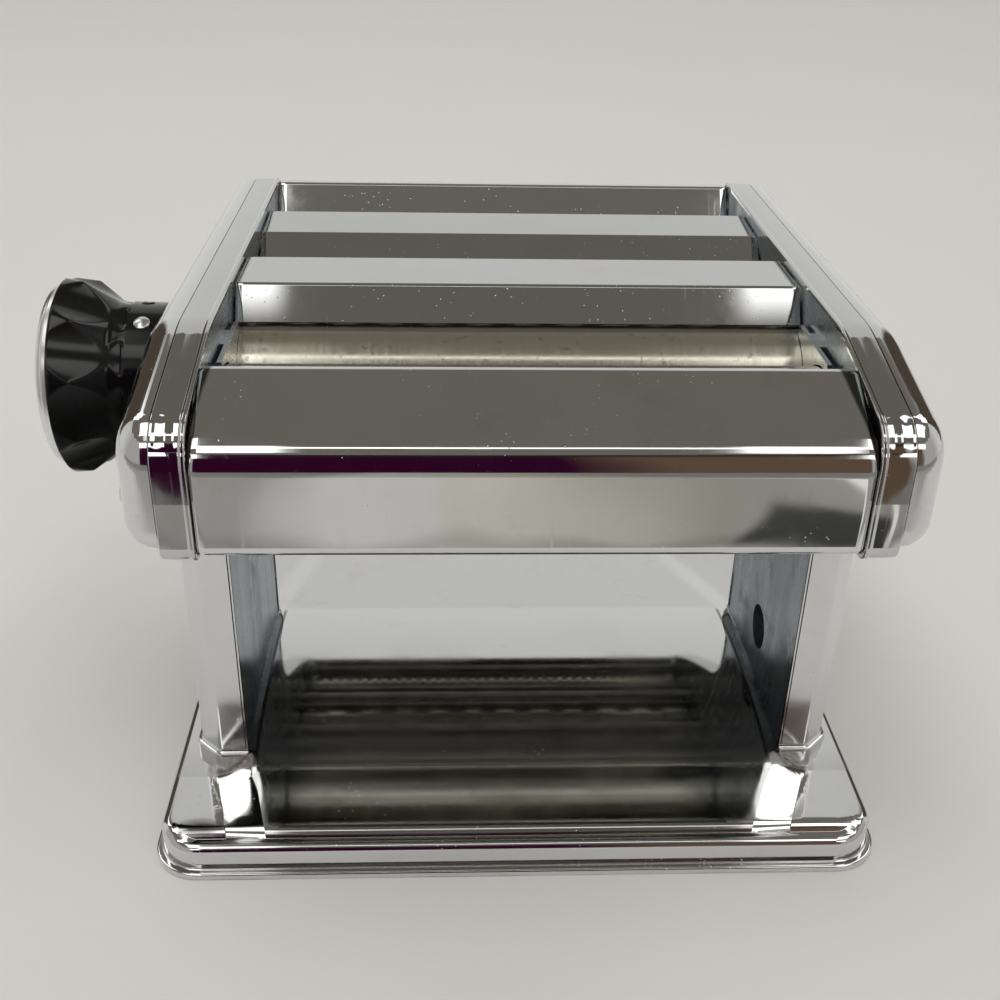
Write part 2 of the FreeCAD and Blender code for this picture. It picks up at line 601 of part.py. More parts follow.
# Rim shells and leg shells: the chromed rim strip round the head, and the bulged outside of the leg.
def rim_and_leg(side):
    """Both are made on the right, with the holes of their own side, and turned over for the left.
    They are pressed to one form, which the plane of the rim's outer face parts."""
    strip = extrude(side + "_strip", side_outline, "YZ", "rim_inner", "rim_width")
    leg = prism(side + "_leg", "XY", leg_plan("0"), "base_top",
                "head_bottom + cover_lift - cover_gap - base_top")
    flange = prism(side + "_flange", "XY", [
        ("rim_inner", "-(leg_half + foot_flange)"),
        ("leg_reach + foot_flange", "-(leg_half + foot_flange)", "leg_facet"),
        ("leg_reach + foot_flange", "leg_half + foot_flange", "leg_facet"),
        ("rim_inner", "leg_half + foot_flange"),
    ], "base_top", "foot_flange_wall")
    outside = fused(side + "_outside", [strip, leg, flange])
    hollow = extrude(side + "_hollow", inner_outline, "YZ", "rim_inner - cut_past",
                     "rim_width + cut_past - sheet_wall")
    leg_hollow = prism(side + "_leg_hollow", "XY", leg_plan("sheet_wall"),
                       "base_top - cut_past",
                       "head_bottom + cover_lift - cover_gap - sheet_wall - base_top + cut_past")
    foot_slot = prism(side + "_foot_slot", "YZ", [
        ("-(leg_half - sheet_wall)", "base_top - cut_past"),
        ("leg_half - sheet_wall", "base_top - cut_past"),
        ("leg_half - sheet_wall", "base_top + foot_slot_height"),
        ("-(leg_half - sheet_wall)", "base_top + foot_slot_height"),
    ], "rim_inner - cut_past", "rim_width")
    screws = [(place, height, "cover_screw_radius + screw_hole_play") for place, height in COVER_SCREWS]
    if side == "right":
        holes = [(place, height, "journal_radius + rim_hole_play") for place, height in CRANKED]
    else:
        holes = [("0", "smooth_height", "spindle_radius + spindle_opening_play")]
    drill = rods(side + "_drill", "YZ", screws + holes, "rim_outer - 2 * sheet_wall", "4 * sheet_wall")
    tools = [hollow, leg_hollow, foot_slot, drill]
    if side == "right":
        tools.append(rods("right_clamp_drill", "YZ", [("0", "clamp_height", "clamp_radius")],
                          "leg_reach - 2 * sheet_wall", "4 * sheet_wall"))
    pressed = cut(side + "_pressed", outside, fused(side + "_inside", tools))
    beyond = prism(side + "_beyond", "YZ", [
        ("-base_front", "0"), ("base_rear", "0"), ("base_rear", "head_top"), ("-base_front", "head_top"),
    ], "rim_outer", "leg_reach")
    return cut(side + "_rim", pressed, beyond), common(side + "_leg_outside", pressed, beyond)


CRANKED = [("-smooth_centres", "smooth_height"), ("wide_front", "cutter_height"),
           ("narrow_front", "cutter_height")]
COVER_SCREWS = [("-cover_screw_front", "cover_screw_front_height"),
                ("narrow_place", "cover_screw_rear_height")]

right_rim, right_leg = rim_and_leg("right")
left_rim, left_leg = rim_and_leg("left")
named(right_rim, "right_rim_shell")
named(right_leg, "right_leg_shell")
named(mirrored("left_rim_turned", left_rim), "left_rim_shell")
named(mirrored("left_leg_turned", left_leg), "left_leg_shell")


# Side covers: bulged shells over the gears and the adjuster.
def side_cover(side):
    """A cover made on the right, with the holes of its own side, and turned over for the left."""
    block = extrude(side + "_cover_block", head_outline, "YZ", "cover_inner", "cover_outer - cover_inner")

    def outer_edge(edge):
        return all(abs(corner.Point.x - size("cover_outer")) < 1e-4 for corner in edge.Vertexes)

    rounded = round_edges(side + "_cover_rounded", block, size("cover_round"), outer_edge)
    within = offset(side + "_cover_within", head_outline, "-sheet_wall")
    core = extrude(side + "_cover_core", within, "YZ", "cover_inner - cut_past",
                   "cover_outer - cover_inner - sheet_wall + cut_past")

    def core_edge(edge):
        return all(abs(corner.Point.x - size("cover_outer - sheet_wall")) < 1e-4
                   for corner in edge.Vertexes)

    hollow = round_edges(side + "_cover_hollow", core, size("cover_round - sheet_wall"), core_edge)
    holes = [(place, height, "cover_screw_radius + screw_hole_play") for place, height in COVER_SCREWS]
    if side == "right":
        holes += [(place, height, "journal_radius + socket_hole_play") for place, height in CRANKED]
    else:
        holes += [("0", "smooth_height", "spindle_bush_radius")]
    drill = rods(side + "_cover_drill", "YZ", holes, "cover_outer - 2 * sheet_wall", "4 * sheet_wall")
    return cut(side + "_cover_cut", cut(side + "_cover_shell", rounded, hollow), drill)


named(side_cover("right"), "right_side_cover")
named(mirrored("left_cover_turned", side_cover("left")), "left_side_cover")

# Frame plates: the zinc plates that carry the rollers.
BUSHED = [("-smooth_centres", "smooth_height"), ("wide_front", "cutter_height"),
          ("wide_rear", "cutter_height"), ("narrow_front", "cutter_height"),
          ("narrow_rear", "cutter_height")]
RODS = [("-front_rod_place", "front_rod_height"), ("middle_rod_place", "middle_rod_height"),
        ("third_rod_place", "third_rod_height"), ("rear_rod_place", "rear_rod_height")]


def frame_plate(side):
    plate = extrude(side + "_plate", frame_outline, "YZ", "plate_inner", "frame_wall")
    foot = prism(side + "_foot", "XZ", [
        ("plate_inner", "base_top"),
        ("foot_tab_reach", "base_top"),
        ("foot_tab_reach", "base_top + foot_tab_wall"),
        ("plate_inner", "base_top + foot_tab_wall"),
    ], "-foot_tab_half", "2 * foot_tab_half")
    heel = prism(side + "_heel", "YZ", [
        ("-foot_tab_half", "base_top"),
        ("foot_tab_half", "base_top"),
        ("foot_tab_half", "base_top + 4 * foot_tab_wall"),
        ("-foot_tab_half", "base_top + 4 * foot_tab_wall"),
    ], "plate_inner", "frame_wall")
    window = prism(side + "_window", "YZ", [
        ("-(block_front + block_fit)", "smooth_height - block_down - block_fit"),
        ("block_rear + gap_travel + block_fit", "smooth_height - block_down - block_fit"),
        ("block_rear + gap_travel + block_fit", "smooth_height + block_up + block_fit"),
        ("-(block_front + block_fit)", "smooth_height + block_up + block_fit"),
    ], "plate_inner - cut_past", "frame_wall + 2 * cut_past")
    holes = [(place, height, "bush_radius") for place, height in BUSHED]
    holes += [(place, height, "rod_neck_radius") for place, height in RODS]
    holes += [(place, height, "cover_screw_radius") for place, height in COVER_SCREWS]
    if side == "right":
        holes.append(("0", "clamp_height", "clamp_radius"))
    drill = rods(side + "_plate_drill", "YZ", holes, "plate_inner - cut_past", "frame_wall + 2 * cut_past")
    foot_drill = rods(side + "_foot_drill", "XY", [
        ("foot_screw_place", "foot_screw_spread", "foot_screw_radius"),
        ("foot_screw_place", "-foot_screw_spread", "foot_screw_radius"),
    ], "base_top - cut_past", "foot_tab_wall + 2 * cut_past")
    whole = fused(side + "_frame_whole", [plate, foot, heel])
    return cut(side + "_frame", whole, fused(side + "_frame_tools", [window, drill, foot_drill]))


named(frame_plate("right"), "right_frame_plate")
named(mirrored("left_frame_turned", frame_plate("left")), "left_frame_plate")

# Clamp sleeve: a tube behind the hole in the right leg.
sleeve = new_body("sleeve", z="clamp_height")
turned(sleeve, "sleeve_tube", [
    ("plate_outer", "clamp_radius"),
    ("leg_reach - sheet_wall", "clamp_radius"),
    ("leg_reach - sheet_wall", "clamp_radius + clamp_sleeve_wall"),
    ("plate_outer", "clamp_radius + clamp_sleeve_wall"),
])
named(sleeve, "clamp_sleeve")

# Covers over the rollers.
named(bent_sheet("front_cover", [
    ("-front_cover_edge + feed_lip_run", "front_cover_top - feed_lip_drop"),
    ("-front_cover_edge", "front_cover_top", "bend_round"),
    ("-front_cover_face", "front_cover_nose", "front_cover_round"),
    ("-front_cover_face", "front_cover_bottom", "bend_round"),
    ("-front_cover_face + front_cover_hem", "front_cover_bottom"),
], "skin_wall", "skin_half"), "front_cover")
named(bent_sheet("front_ridge", [
    ("wide_place - wide_hopper_half", "hopper_low"),
    ("ridge_rear", "ridge_top", "bend_round"),
    ("ridge_front", "ridge_top", "bend_round"),
    ("ridge_low_place", "ridge_low"),
], "skin_wall", "skin_half"), "front_ridge")
named(bent_sheet("rear_ridge", [
    ("narrow_place - narrow_hopper_half", "hopper_low"),
    ("rear_ridge_rear", "rear_ridge_rear_top", "bend_round"),
    ("rear_ridge_front", "rear_ridge_front_top", "bend_round"),
    ("wide_place + wide_hopper_half", "hopper_low"),
], "skin_wall", "skin_half"), "rear_ridge")
named(bent_sheet("rear_cover", [
    ("rear_cover_face - front_cover_hem", "rear_cover_bottom"),
    ("rear_cover_face", "rear_cover_bottom", "bend_round"),
    ("rear_cover_face", "rear_cover_top", "2.2 * bend_round"),
    ("rear_panel_edge", "rear_cover_top", "bend_round"),
    ("rear_panel_low_place", "rear_panel_low"),
], "skin_wall", "skin_half"), "rear_cover")


# Rollers: every roller is turned about X, with journals at both ends.
def journals(body, name, core, cranked):
    """Core and journals; a cranked roller reaches out to its socket on the right."""
    right_end = "socket_reach" if cranked else "gear_start + gear_width"
    turned(body, name + "_core", [
        ("-(roller_half + left_journal)", "0"),
        ("-(roller_half + left_journal)", "journal_radius"),
        ("-roller_half", "journal_radius"),
        ("-roller_half", core),
        ("roller_half", core),
        ("roller_half", "journal_radius"),
        (right_end, "journal_radius"),
        (right_end, "0"),
    ])
    if cranked:
        turned(body, name + "_socket", [
            ("socket_reach - socket_depth", "0"),
            ("socket_reach - socket_depth", "socket_radius"),
            ("socket_reach", "socket_radius"),
            ("socket_reach", "0"),
        ], "PartDesign::Groove")
        slot = draw(body_sketch(body, name + "_slot_outline", "XY"), [
            ("socket_reach - socket_slot_depth", "-socket_slot / 2"),
            ("socket_reach", "-socket_slot / 2"),
            ("socket_reach", "socket_slot / 2"),
            ("socket_reach - socket_slot_depth", "socket_slot / 2"),
        ])
        pocket = body.newObject("PartDesign::Pocket", name + "_slot")
        pocket.Profile = slot
        pocket.Midplane = True
        bind(pocket, "Length", "4 * journal_radius")
        body.Tip = pocket


def rings(body, name, pitch, count, shift):
    """Cutting rings in a row along the roller, the first at its left end plus a shift."""
    first = "(-(%s) * (%s) / 2 + (%s) * (%s))" % (pitch, count, pitch, shift)
    width = "((%s) / 2 - 2 * ring_side_clearance)" % pitch
    disc = turned(body, name + "_ring", [
        ("%s - %s / 2" % (first, width), "groove_radius - cut_past"),
        ("%s + %s / 2" % (first, width), "groove_radius - cut_past"),
        ("%s + %s / 2" % (first, width), "cutter_radius"),
        ("%s - %s / 2" % (first, width), "cutter_radius"),
    ])
    row_along_x(body, disc, name + "_rings", count, "(%s) * ((%s) - 1)" % (pitch, count))


smooth_front = new_body("smooth_front", y="-smooth_centres", z="smooth_height")
journals(smooth_front, "smooth_front", "smooth_radius", True)
named(smooth_front, "front_smooth_roller")
smooth_rear = new_body("smooth_rear", z="smooth_height")
journals(smooth_rear, "smooth_rear", "smooth_radius", False)
named(smooth_rear, "rear_smooth_roller")
CUTTERS = [("wide", "wide_pitch", "wide_rings"), ("narrow", "narrow_pitch", "narrow_rings")]
for family, pitch, count in CUTTERS:
    for place, shift in (("front", "0.25"), ("rear", "0.75")):
        name = family + "_" + place
        cutter = new_body(name + "_cutter", y=name, z="cutter_height")
        journals(cutter, name, "groove_radius", place == "front")
        rings(cutter, name, pitch, count, shift)
        named(cutter, name + "_cutter")


# Gears: involute teeth worked out from the centre distance and the number of teeth.
def involute_gear(teeth, centres, width, bore, add, play, turn):
    """A spur gear about X. Flanks follow the involute r = rb / cos(a), angle = tan(a) - a."""
    module = centres / teeth
    pitch_radius = module * teeth / 2
    base_radius = pitch_radius * math.cos(math.radians(20))
    tip_radius = pitch_radius + add * module
    root_radius = pitch_radius - (add + size("tooth_root_play")) * module
    lean = math.tan(math.radians(20)) - math.radians(20)
    half_tooth = math.pi / (2 * teeth) - play / (4 * pitch_radius)
    start = max(root_radius, base_radius)
    flank = []
    for step in range(6):
        radius = start + (tip_radius - start) * step / 5
        angle = math.acos(min(1.0, base_radius / radius))
        flank.append((radius, half_tooth + lean - (math.tan(angle) - angle)))
    if root_radius < base_radius:
        flank.insert(0, (root_radius, flank[0][1]))
    points = []
    for tooth in range(teeth):
        middle = 2 * math.pi * tooth / teeth + turn
        for radius, away in flank:
            points.append((radius, middle - away))
        for radius, away in reversed(flank):
            points.append((radius, middle + away))
    corners = [V(0, radius * math.cos(angle), radius * math.sin(angle)) for radius, angle in points]
    wire = Part.makePolygon(corners + [corners[0]])
    hole = Part.Wire(Part.makeCircle(bore, V(0, 0, 0), V(1, 0, 0)))
    face = Part.Face(wire).cut(Part.Face(hole))
    return face.extrude(V(width, 0, 0)).Solids[0]


def gear(label, teeth, centres, place, height, turn):
    item = doc.addObject("Part::Feature", label + "_wheel")
    item.Shape = involute_gear(round(size(teeth)), size(centres), size("gear_width"),
                               size("journal_radius"), 1.0, size("tooth_play"), turn)
    item.Placement = FreeCAD.Placement(V(size("gear_start"), size(place), size(height)), FreeCAD.Rotation())
    named(item, label)


# A tooth of the front gear points at its neighbour, which meets it with a space.
for family, teeth, centres, front, rear, height in (
    ("smooth", "smooth_teeth", "smooth_centres", "-smooth_centres", "0", "smooth_height"),
    ("wide", "cutter_teeth", "cutter_centres", "wide_front", "wide_rear", "cutter_height"),
    ("narrow", "cutter_teeth", "cutter_centres", "narrow_front", "narrow_rear", "cutter_height"),
):
    half_pitch = math.pi / size(teeth)
    gear(family + "_front_gear", teeth, centres, front, height, 0.0)
    gear(family + "_rear_gear", teeth, centres, rear, height, math.pi + half_pitch)


# Bushes: flanged bronze bushes of the rollers that don't slide.
def bush(name, place, height):
    body = new_body(name, y=place, z=height)
    turned(body, name + "_ring", [
        ("plate_inner", "bush_bore"),
        ("bush_end", "bush_bore"),
        ("bush_end", "bush_radius + bush_flange"),
        ("plate_outer", "bush_radius + bush_flange"),
        ("plate_outer", "bush_radius"),
        ("plate_inner", "bush_radius"),
    ])
    return body


def both_sides(label, pieces):
    """A node of like pieces on both sides of the machine."""
    twins = [mirrored(piece.Name + "_left", piece) for piece in pieces]
    group = doc.addObject("Part::Compound", label + "_group")
    group.Links = pieces + twins
    return named(group, label)


both_sides("smooth_roller_bushes", [bush("smooth_bush", "-smooth_centres", "smooth_height")])
both_sides("wide_cutter_bushes", [bush("wide_front_bush", "wide_front", "cutter_height"),
                                  bush("wide_rear_bush", "wide_rear", "cutter_height")])
both_sides("narrow_cutter_bushes", [bush("narrow_front_bush", "narrow_front", "cutter_height"),
                                    bush("narrow_rear_bush", "narrow_rear", "cutter_height")])


# Carriage: two blocks that slide in the frame's windows, and the bar that joins them.
def block_outline(grow):
    return [
        ("-(block_front + (%s))" % grow, "smooth_height - block_down - (%s)" % grow),
        ("block_rear + (%s)" % grow, "smooth_height - block_down - (%s)" % grow),
        ("block_rear + (%s)" % grow, "smooth_height + block_up + (%s)" % grow),
        ("-(block_front + (%s))" % grow, "smooth_height + block_up + (%s)" % grow),
    ]


def slide_block(side):
    body = prism(side + "_block_body", "YZ", block_outline("0"),
                 "plate_inner - block_proud", "block_end - plate_inner + block_proud")
    lip = prism(side + "_block_lip", "YZ", [
        ("-block_front", "smooth_height - block_down - block_lip"),
        ("block_rear", "smooth_height - block_down - block_lip"),
        ("block_rear", "smooth_height + block_up + block_lip"),
        ("-block_front", "smooth_height + block_up + block_lip"),
    ], "plate_outer + block_lip_play", "block_lip_wall")
    holes = [("0", "smooth_height", "bush_bore"),
             ("bar_back", "smooth_height - bar_down", "rod_neck_radius")]
    if side == "left":
        holes.append(("cam_pin_place", "smooth_height", "cam_pin_radius"))
    drill = rods(side + "_block_drill", "YZ", holes, "plate_inner - cut_past",
                 "block_end - plate_inner + 2 * cut_past")
    return cut(side + "_block", fused(side + "_block_whole", [body, lip]), drill)


named(slide_block("right"), "right_slide_block")
named(mirrored("left_block_turned", slide_block("left")), "left_slide_block")
bar = new_body("bar", y="bar_back", z="smooth_height - bar_down")
turned(bar, "bar_shaft", [
    ("-block_end", "0"),
    ("-block_end", "rod_neck_radius"),
    ("-(plate_inner - block_proud)", "rod_neck_radius"),
    ("-(plate_inner - block_proud)", "bar_radius"),
    ("plate_inner - block_proud", "bar_radius"),
    ("plate_inner - block_proud", "rod_neck_radius"),
    ("block_end", "rod_neck_radius"),
    ("block_end", "0"),
])
named(bar, "carriage_bar")
cam_pin = new_body("cam_pin", y="cam_pin_place", z="smooth_height")
turned(cam_pin, "cam_pin_turned", [
    ("-(plate_inner - block_proud)", "0"),
    ("-(cam_start + cam_groove_depth - cam_pin_play)", "0"),
    ("-(cam_start + cam_groove_depth - cam_pin_play)", "cam_pin_radius"),
    ("-(plate_inner - block_proud)", "cam_pin_radius"),
])
named(cam_pin, "cam_follower_pin")

# Cam spindle: a disc with a spiral groove that pushes the carriage back as the knob turns.
def spiral_groove():
    """The groove's middle leaves the axis by gap_travel over the knob's range, at a steady rate."""
    sweep = math.radians(size("knob_turn_range"))
    near, travel, half = size("cam_pin_place"), size("gap_travel"), size("groove_width") / 2
    margin = math.radians(2)
    steps = 36

    def line(side):
        points = []
        for step in range(steps + 1):
            angle = -margin + (sweep + 2 * margin) * step / steps
            radius = near + travel * angle / sweep + side * half
            points.append(V(0, radius * math.cos(angle), radius * math.sin(angle)))
        curve = Part.BSplineCurve()
        curve.interpolate(points)
        return curve, points

    outer, outer_points = line(1)
    inner, inner_points = line(-1)

    def round_end(first, last, angle, outwards):
        middle = (first + last) * 0.5
        tangent = V(0, -math.sin(angle), math.cos(angle)) * outwards
        return Part.Arc(first, middle + tangent * half, last).toShape()

    wire = Part.Wire([
        outer.toShape(),
        round_end(outer_points[-1], inner_points[-1], sweep + margin, 1),
        inner.toShape(),
        round_end(inner_points[0], outer_points[0], -margin, -1),
    ])
    return Part.Face(wire)


spindle = new_body("spindle", z="smooth_height")
turned(spindle, "spindle_turned", [
    ("-cam_start", "0"),
    ("-cam_start", "cam_radius"),
    ("-(cam_start + cam_wall)", "cam_radius"),
    ("-(cam_start + cam_wall)", "spindle_radius"),
    ("-square_start", "spindle_radius"),
    ("-square_start", "0"),
])
square = draw(body_sketch(spindle, "square_outline", "YZ", "-square_end"), [
    ("-square_width / 2", "-square_width / 2"),
    ("square_width / 2", "-square_width / 2"),
    ("square_width / 2", "square_width / 2"),
    ("-square_width / 2", "square_width / 2"),
])
square_pad = spindle.newObject("PartDesign::Pad", "square_pad")
square_pad.Profile = square
bind(square_pad, "Length", "square_end - square_start")
spindle.Tip = square_pad
groove = doc.addObject("Part::Feature", "groove_tool")
groove.Shape = spiral_groove().extrude(V(size("cam_groove_depth + cut_past"), 0, 0))
groove.Placement = FreeCAD.Placement(
    V(-size("cam_start + cam_groove_depth"), 0, size("smooth_height")), FreeCAD.Rotation())
named(cut("spindle_grooved", spindle, groove), "cam_spindle")

# Bush of the spindle in the left side cover, with the numbered stop ring round it.
spindle_bush = new_body("spindle_bush_body", z="smooth_height")
turned(spindle_bush, "spindle_bush_turned", [
    ("-spindle_bush_end", "spindle_radius + running_clearance"),
    ("-spindle_bush_end", "spindle_bush_radius"),
    ("-spindle_bush_start", "spindle_bush_radius"),
    ("-spindle_bush_start", "spindle_radius + running_clearance"),
])
named(spindle_bush, "spindle_bush")
stop_ring = new_body("stop_ring_body", z="smooth_height")
turned(stop_ring, "stop_ring_turned", [
    ("-(cover_outer + index_ring_wall)", "spindle_bush_radius"),
    ("-(cover_outer + index_ring_wall)", "index_ring_radius"),
    ("-cover_outer", "index_ring_radius"),
    ("-cover_outer", "spindle_bush_radius"),
])
stop_hole = draw_circles(body_sketch(stop_ring, "stop_hole_outline", "YZ",
                                     "-(cover_outer + index_ring_wall / 2)"),
                         [("index_hole_place", "0", "index_hole_radius")])
stop_pocket = stop_ring.newObject("PartDesign::Pocket", "stop_pocket")
stop_pocket.Profile = stop_hole
stop_pocket.Midplane = True
bind(stop_pocket, "Length", "2 * index_ring_wall")
stop_ring.Tip = stop_pocket
ring_about_x(stop_ring, stop_pocket, "stop_holes", "index_steps + 3")
named(stop_ring, "stop_ring")

# Knob: black, scalloped, with a hollow over the stop ring and a chamber for its spring.
knob = new_body("knob_body", z="smooth_height")
turned(knob, "knob_turned", [
    ("-knob_start", "knob_cavity_radius"),
    ("-knob_start", "knob_neck_radius", "0.8 * sheet_wall"),
    ("-knob_neck_end", "knob_neck_radius + 0.4 * sheet_wall", "3 * sheet_wall"),
    ("-knob_rim_start", "knob_rim_radius", "sheet_wall"),
    ("-knob_rim_end", "knob_rim_radius", "1.5 * sheet_wall"),
    ("-knob_rim_end", "knob_spring_room"),
    ("-knob_web_end", "knob_spring_room"),
    ("-knob_web_end", "spindle_radius"),
    ("-knob_cavity_end", "spindle_radius"),
    ("-knob_cavity_end", "knob_cavity_radius"),
])
collar_sketch = draw_circles(body_sketch(knob, "collar_outline", "YZ", "-knob_web_end"),
                             [("0", "0", "spindle_radius + knob_collar_wall")])
draw(collar_sketch, [
    ("-knob_socket", "-knob_socket"),
    ("knob_socket", "-knob_socket"),
    ("knob_socket", "knob_socket"),
    ("-knob_socket", "knob_socket"),
])
collar = knob.newObject("PartDesign::Pad", "knob_collar")
collar.Profile = collar_sketch
bind(collar, "Length", "knob_web_end - knob_cavity_end")
knob.Tip = collar


def scallop_tools():
    """Slanted cylinders set round the knob, each biting into the rim."""
    lean = math.atan2(size("knob_rim_radius - knob_neck_radius"), size("knob_rim_end - knob_neck_end"))
    radius, bite = size("knob_facet_radius"), size("knob_facet_bite")
    tools = []
    for number in range(round(size("knob_facets"))):
        turn = FreeCAD.Rotation(V(1, 0, 0), 360 * (number + 0.5) / round(size("knob_facets")))
        along = V(-math.cos(lean * 0.5), 0, math.sin(lean * 0.5))
        outward = V(math.sin(lean * 0.5), 0, math.cos(lean * 0.5))
        at_rim = V(-size("knob_rim_end"), 0, size("knob_rim_radius") - bite)
        centre = at_rim + outward * radius
        start = centre - along * size("knob_rim_radius")
        tools.append(Part.makeCylinder(radius, 2 * size("knob_rim_radius"),
                                       turn.multVec(start), turn.multVec(along)))
    return tools[0].fuse(tools[1:])


scallops = doc.addObject("Part::Feature", "scallop_tools")
scallops.Shape = scallop_tools()
scallops.Placement = FreeCAD.Placement(V(0, 0, size("smooth_height")), FreeCAD.Rotation())
named(cut("knob_scalloped", knob, scallops), "knob")

knob_cap = new_body("knob_cap_body", z="smooth_height")
turned(knob_cap, "knob_cap_turned", [
    ("-knob_rim_end", "0"),
    ("-knob_rim_end", "knob_cap_radius"),
    ("-(knob_rim_end + knob_cap_edge)", "knob_cap_radius"),
    ("-(knob_rim_end + 0.7 * knob_cap_dome)", "0.62 * knob_cap_radius", "knob_cap_radius"),
    ("-(knob_rim_end + knob_cap_dome)", "0"),
])
named(knob_cap, "knob_cap")

stop_pin = new_body("stop_pin_body", y="index_hole_place", z="smooth_height")
turned(stop_pin, "stop_pin_turned", [
    ("-(cover_outer + index_ring_wall + index_pin_relief)", "0"),
    ("-knob_cavity_end", "0"),
    ("-knob_cavity_end", "index_pin_radius"),
    ("-(cover_outer + index_ring_wall + index_pin_relief)", "index_pin_radius"),
])
named(stop_pin, "stop_pin")

spindle_screw = new_body("spindle_screw_body", z="smooth_height")
turned(spindle_screw, "spindle_screw_turned", [
    ("-square_end", "0"),
    ("-square_end", "washer_radius"),
    ("-(square_end + washer_wall)", "washer_radius"),
    ("-(square_end + washer_wall)", "0"),
])
named(spindle_screw, "spindle_screw")


def coil(mean, wire, length, turns):
    """An open spring about Z: one round wire carried along a helix."""
    helix = Part.makeHelix(length / turns, length, mean)
    ring = Part.Wire(Part.makeCircle(wire / 2, V(mean, 0, 0), V(0, 1, 0)))
    return Part.Wire(helix.Edges).makePipeShell([ring], True, True)


spring = doc.addObject("Part::Feature", "spring_coil")
spring_room = size("square_end - knob_web_end") - size("spring_wire") - 0.1
spring.Shape = coil(size("spring_mean"), size("spring_wire"), spring_room, size("spring_turns"))
spring.Placement = FreeCAD.Placement(
    V(-size("square_end") + size("spring_wire") / 2 + 0.05, 0, size("smooth_height")),
    FreeCAD.Rotation(V(0, 1, 0), 90))
named(spring, "knob_spring")


# Dough guides: plates that stand over the nip at both ends of the smooth rollers.
def dough_guide():
    blade = prism("guide_blade", "YZ", [
        ("-guide_front", "smooth_height"),
        ("-guide_rear", "smooth_height"),
        ("-guide_rear", "guide_top"),
        ("-guide_front", "guide_top"),
    ], "feed_width / 2", "guide_wall")
    below = prism("guide_below", "YZ", [
        ("-guide_front - cut_past", "smooth_height - cut_past"),
        ("-guide_rear + cut_past", "smooth_height - cut_past"),
        ("-guide_rear + cut_past", "guide_tip"),
        ("-guide_front - cut_past", "guide_tip"),
    ], "feed_width / 2 - cut_past", "guide_wall + 2 * cut_past")
    round_tools = rods("guide_rounds", "YZ", [
        ("-smooth_centres", "smooth_height", "smooth_radius + guide_gap"),
    ], "feed_width / 2 - cut_past", "guide_wall + 2 * cut_past")
    rear_tool = rods("guide_rear_round", "YZ", [
        ("0", "smooth_height", "smooth_radius + guide_gap"),
    ], "feed_width / 2 - cut_past", "guide_wall + 2 * cut_past")
    tab = prism("guide_tab", "YZ", [
        ("-smooth_centres / 2 - guide_tab_half", "guide_top - guide_tab_drop"),
        ("-smooth_centres / 2 + guide_tab_half", "guide_top - guide_tab_drop"),
        ("-smooth_centres / 2 + guide_tab_half", "guide_top"),
        ("-smooth_centres / 2 - guide_tab_half", "guide_top"),
    ], "feed_width / 2 + guide_wall", "plate_inner - feed_width / 2 - guide_wall")
    shaped = cut("guide_shaped", blade, fused("guide_tools", [below, round_tools, rear_tool]))
    return fused("guide_whole", [shaped, tab])


guide = dough_guide()
named(guide, "right_dough_guide")
named(mirrored("guide_turned", guide), "left_dough_guide")

# Scrapers: blades that lift the dough off the smooth rollers.
named(bent_sheet("front_scraper", [
    ("-front_rod_place - rod_radius", "front_rod_height - rod_radius - scraper_wall"),
    ("-front_rod_place + 3 * rod_radius", "front_rod_height - rod_radius - scraper_wall", "bend_round"),
    ("-smooth_centres - smooth_radius / 2",
     "smooth_height - scraper_drop - scraper_gap - scraper_wall"),
], "scraper_wall", "skin_half"), "front_scraper")
named(bent_sheet("rear_scraper", [
    ("bar_back + bar_radius", "smooth_height - bar_down - bar_radius - scraper_wall"),
    ("bar_back - bar_radius", "smooth_height - bar_down - bar_radius - scraper_wall", "bend_round"),
    ("smooth_radius / 2", "smooth_height - scraper_drop - 2 * scraper_gap"),
], "scraper_wall", "plate_inner - scraper_side_gap"), "rear_scraper")


# Combs: toothed strips under the cutters that push the noodles out of the grooves.
def comb(label, place, towards, pitch, count, shift):
    """A strip beside the cutter's axis, with a tooth in each of the roller's own grooves."""
    body = new_body(label + "_body", y="%s + (%s) * comb_offset" % (place, towards), z="cutter_height")
    low = "-(cutter_radius + comb_gap + comb_height)"
    high = "-(cutter_radius + comb_gap)"
    back_sketch = draw(body_sketch(body, label + "_back_outline", "XZ", "-comb_wall / 2"), [
        ("-plate_inner", low),
        ("plate_inner", low),
        ("plate_inner", high),
        ("-plate_inner", high),
    ])
    back = body.newObject("PartDesign::Pad", label + "_back")
    back.Profile = back_sketch
    bind(back, "Length", "comb_wall")
    body.Tip = back
    middle = "(-(%s) * (%s) / 2 + (%s) * (%s) + (%s) / 2)" % (pitch, count, pitch, shift, pitch)
    half = "((%s) / 4 - comb_gap)" % pitch
    tooth_sketch = draw(body_sketch(body, label + "_tooth_outline", "XZ", "-comb_wall / 2"), [
        ("%s - %s" % (middle, half), "%s - comb_gap" % high),
        ("%s + %s" % (middle, half), "%s - comb_gap" % high),
        ("%s + %s" % (middle, half), "-(groove_radius - comb_gap / 2)"),
        ("%s - %s" % (middle, half), "-(groove_radius - comb_gap / 2)"),
    ])
    tooth = body.newObject("PartDesign::Pad", label + "_tooth")
    tooth.Profile = tooth_sketch
    bind(tooth, "Length", "comb_wall")
    body.Tip = tooth
    row_along_x(body, tooth, label + "_teeth", "(%s) - 1" % count, "(%s) * ((%s) - 2)" % (pitch, count))
    named(body, label)


for family, pitch, count in CUTTERS:
    comb(family + "_front_comb", family + "_front", "-1", pitch, count, "0.25")
    comb(family + "_rear_comb", family + "_rear", "1", pitch, count, "0.75")

